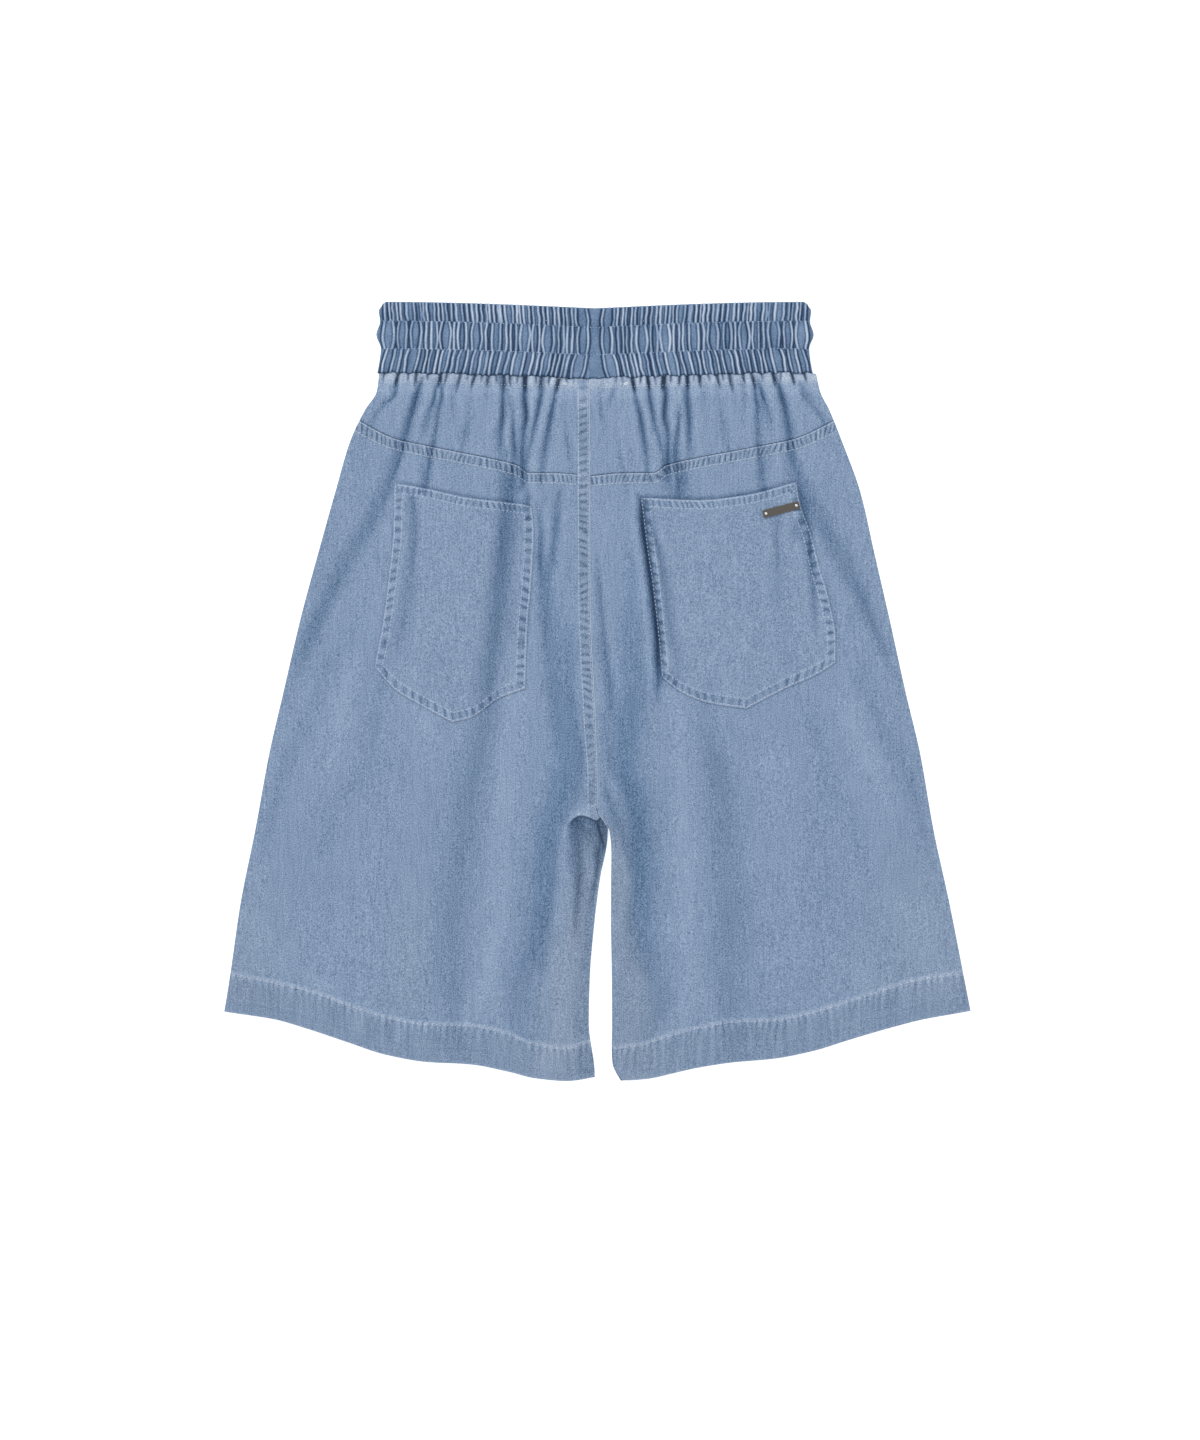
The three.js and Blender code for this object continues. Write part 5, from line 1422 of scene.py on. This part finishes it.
def sew(name, places, headings, heights, size, material, slot="denim"):
    """One mesh of stitches, each at a place, turned to its heading. size is length, width, height."""
    length, width, high = size
    points, faces = [], []
    for k, ((px, py), heading, pz) in enumerate(zip(places, headings, heights)):
        turn = heading + 0.05 * chance(101, k)
        long = length * (1 + 0.12 * chance(102, k))
        local = stitch_points * (long, width, high)
        cos, sin = math.cos(turn), math.sin(turn)
        moved = np.stack(
            [
                px + local[:, 0] * cos - local[:, 1] * sin,
                py + local[:, 0] * sin + local[:, 1] * cos,
                pz + local[:, 2],
            ],
            -1,
        )
        start = len(points) * len(stitch_points)
        points.append(moved * MM)
        faces += [[start + i for i in face] for face in stitch_faces]
    mesh = bpy.data.meshes.new(name)
    mesh.from_pydata(np.concatenate(points).tolist(), [], faces)
    mesh.polygons.foreach_set("use_smooth", np.ones(len(mesh.polygons), bool))
    mesh.materials.append(material)
    piece = bpy.data.objects.new(name, mesh)
    scene.collection.objects.link(piece)
    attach(piece, "root")
    print(name, len(places), "stitches")
    return piece


def row(line, pitch):
    """Places and headings along a line of points, a pitch apart."""
    steps = np.hypot(*np.diff(line, axis=0).T)
    run = np.concatenate([[0], np.cumsum(steps)])
    at = np.arange(pitch / 2, run[-1], pitch)
    x, y = np.interp(at, run, line[:, 0]), np.interp(at, run, line[:, 1])
    ahead = at + 0.5
    dx = np.interp(ahead, run, line[:, 0]) - x
    dy = np.interp(ahead, run, line[:, 1]) - y
    return np.stack([x, y], -1), np.arctan2(dy, dx)


PITCH = 3.1
STITCH = (2.1, 0.5, 0.36)

# %% Rows on the legs and yokes
def panel_row(side, top, distance, shares):
    """Points of a line that keeps a distance below a seam."""
    y = top(side, shares) - distance
    inner, outer = inner_edge(side, y), side_edge(side, y)
    return np.stack([inner + (outer - inner) * shares, y], -1)


def leg_hem_row(side, x, y):
    return hem_face(side, x, y, across_of(side, x, y))[1]


def leg_puff_row(side, x, y):
    return yoke_face(side, x, y, across_of(side, x, y))[1]


shares = np.linspace(0.005, 0.995, 200)
for side in (LEFT, RIGHT):
    name = SIDE_NAMES[side]
    sewn = []
    for distance in (0.9, YOKE_FELL - 0.9):
        fell_row = lambda s, x, y, d=distance: yoke_fell_face(s, x, y, across_of(s, x, y), d)[1]
        sewn.append((yoke_seam, distance, fell_row))
    sewn += [(band_bottom, PUFF_DEPTH, leg_puff_row), (hem_fold, 1.6, leg_hem_row)]
    places, headings, heights = [], [], []
    for top, distance, height in sewn:
        some, turns = row(panel_row(side, top, distance, shares), PITCH)
        places.append(some)
        headings.append(turns)
        heights.append(height(side, some[:, 0], some[:, 1]))
    joined = [np.concatenate(part) for part in (places, headings, heights)]
    sew("seam_stitches_" + name, *joined, STITCH, pale_thread)

# %% Rows of the centre seam
places, headings, heights = [], [], []
for distance in (0.9, CENTRE_FELL - 0.9):
    y = np.linspace(246, CROTCH_Y - 1, 200)
    some, turns = row(np.stack([centre_fell_line(y, distance), y], -1), PITCH)
    places.append(some)
    headings.append(turns)
    heights.append(centre_fell_face(some[:, 0], some[:, 1], distance)[1])
joined = [np.concatenate(part) for part in (places, headings, heights)]
sew("centre_stitches", *joined, STITCH, pale_thread)

# %% Rows on the pockets
for side in (LEFT, RIGHT):
    name = SIDE_NAMES[side]
    places, headings, heights = [], [], []
    for distance in (1.3, TURNED - 0.4):
        run = np.linspace(0, 1, 120)
        wide, tall = pocket_sizes(side, run, run)
        u, v = distance / wide, distance / tall
        w = 1 - distance / (0.88 * tall)
        lines = [(u, run), (1 - u, run), (run, v), (run, w)]
        for u_line, v_line in lines:
            keep = (u_line >= u.min()) & (u_line <= 1 - u.min()) & (v_line >= v.min()) & (v_line <= w.max())
            x, y = pocket_points(side, u_line[keep], v_line[keep])
            some, turns = row(np.stack([x, y], -1), PITCH)
            steps = np.linspace(0, 1, len(x))
            at = np.linspace(0, 1, len(some))
            u_at = np.interp(at, steps, u_line[keep])
            v_at = np.interp(at, steps, v_line[keep])
            places.append(some)
            headings.append(turns)
            heights.append(pocket_face(side, some[:, 0], some[:, 1], u_at, v_at)[1])
    joined = [np.concatenate(part) for part in (places, headings, heights)]
    sew("pocket_stitches_" + name, *joined, STITCH, pale_thread)

# %% Rows on the waistband
places, headings, heights = [], [], []
for down in BAND_ROWS:
    along = np.linspace(0.005, 0.995, 400)
    x, y, _ = band_place(along, np.full_like(along, down))
    some, turns = row(np.stack([x, y], -1), 2.4)
    at = np.interp(some[:, 0], x, along)
    flat, level, from_end = band_place(at, np.full_like(at, down))
    places.append(some)
    headings.append(turns)
    heights.append(band_face(flat, level, np.full_like(at, down), from_end)[0] - 0.05)
joined = [np.concatenate(part) for part in (places, headings, heights)]
sew("band_stitches", *joined, (1.5, 0.42, 0.3), pale_thread, "gathered_denim")

# %% Bartacks
# x, y, heading in degrees, length, stitches side by side
BARTACKS = [
    (-25.5, 246.4, -20, 4.2, 2), (22.5, 246.2, 15, 4.2, 2), (-160.5, 160.5, 88, 6, 2),
    (-54.8, 144, 84, 6, 2), (37.5, 150.5, 88, 6, 2), (157.5, 162, 84, 6, 2),
]
CROSSES = [(-40.4, 297.2), (36.4, 297.2)]


def top_of(x, y):
    """Height of the cloth at a place on a yoke, a pocket corner or the band."""
    side = LEFT if x < MIDDLE else RIGHT
    x, y = np.array([float(x)]), np.array([float(y)])
    if y[0] > 256:
        down = (312 - y) / BAND_TALL
        return band_face(x, y, down, np.array([60.0]))[0][0]
    across = across_of(side, x, y)
    face = yoke_face if y[0] > 220 else leg_face
    return face(side, x, y, across)[1][0] + (0 if y[0] > 220 else POCKET_LIFT + POCKET_CLOTH)


places, headings, heights = [], [], []
for px, py, angle, length, count in BARTACKS:
    turn = math.radians(angle)
    along, beside = np.array([math.cos(turn), math.sin(turn)]), np.array([-math.sin(turn), math.cos(turn)])
    for lane in range(count):
        for step in np.arange(-length / 2 + 0.9, length / 2, 1.1):
            place = np.array([px, py]) + along * step + beside * 1.1 * (lane - (count - 1) / 2)
            places.append(place)
            headings.append(turn + 0.3)
            heights.append(top_of(*place) + 0.12)
for px, py in CROSSES:
    for turn in (0.9, -0.9):
        places.append(np.array([px, py]))
        headings.append(turn)
        heights.append(top_of(px, py) + 0.5)
sew("bartacks", places, headings, heights, (2.2, 0.55, 0.4), white_thread)

# %% [markdown]
# ## Plate and studs
# A small metal plate is held on the right pocket by a stud at each end. Its place and tilt are the
# solid's, so the solids stay and only take a finish: dark antique metal, finely brushed along its
# length, and bright polished studs.

# %% Metal
def brushed_metal(name, colour, rough, grain):
    material, tree, shader = new_material(name)
    place = add(tree, "ShaderNodeTexCoord").outputs["Object"]
    mapped = add(
        tree,
        "ShaderNodeMapping",
        links={"Vector": place, "Rotation": (0, 0, math.radians(-15)), "Scale": [1 / s for s in grain]},
    )
    lines = add(
        tree, "ShaderNodeTexNoise", links={"Vector": mapped.outputs[0], "Scale": 1.0, "Detail": 3.0}
    )
    bump = add(
        tree,
        "ShaderNodeBump",
        links={"Height": lines.outputs["Fac"], "Strength": 0.5, "Distance": 0.03 * MM},
    )
    tree.links.new(bump.outputs["Normal"], shader.inputs["Normal"])
    shader.inputs["Base Color"].default_value = linear(colour)
    shader.inputs["Metallic"].default_value = 1.0
    shader.inputs["Roughness"].default_value = rough
    return material


plate_metal = brushed_metal("antique_brass_brushed", "5f5c58", 0.42, (4 * MM, 0.15 * MM, 1 * MM))
stud_metal = brushed_metal("nickel_polished", "e6e6e4", 0.22, (1 * MM, 1 * MM, 1 * MM))
metals = {"label_plate": plate_metal, "plate_stud_left": stud_metal, "plate_stud_right": stud_metal}
for node, finish in metals.items():
    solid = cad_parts[node]
    solid.data.materials.clear()
    solid.data.materials.append(finish)

# %% Floor finish
# The floor is a light table: opal acrylic, lit from below, so that no shadow shows on it.
floor_paint, floor_tree, floor_shader = new_material("opal_acrylic_lit")
floor_shader.inputs["Base Color"].default_value = linear("ffffff")
floor_shader.inputs["Roughness"].default_value = 0.6
floor_shader.inputs["Emission Color"].default_value = linear("ffffff")
floor_shader.inputs["Emission Strength"].default_value = 0.5
floor.data.materials.append(floor_paint)

# %% [markdown]
# Each sheet states the size that it was cut to. A gathered piece was cut wider than it lies now.

# %% Sheets
for side in (LEFT, RIGHT):
    name = SIDE_NAMES[side]
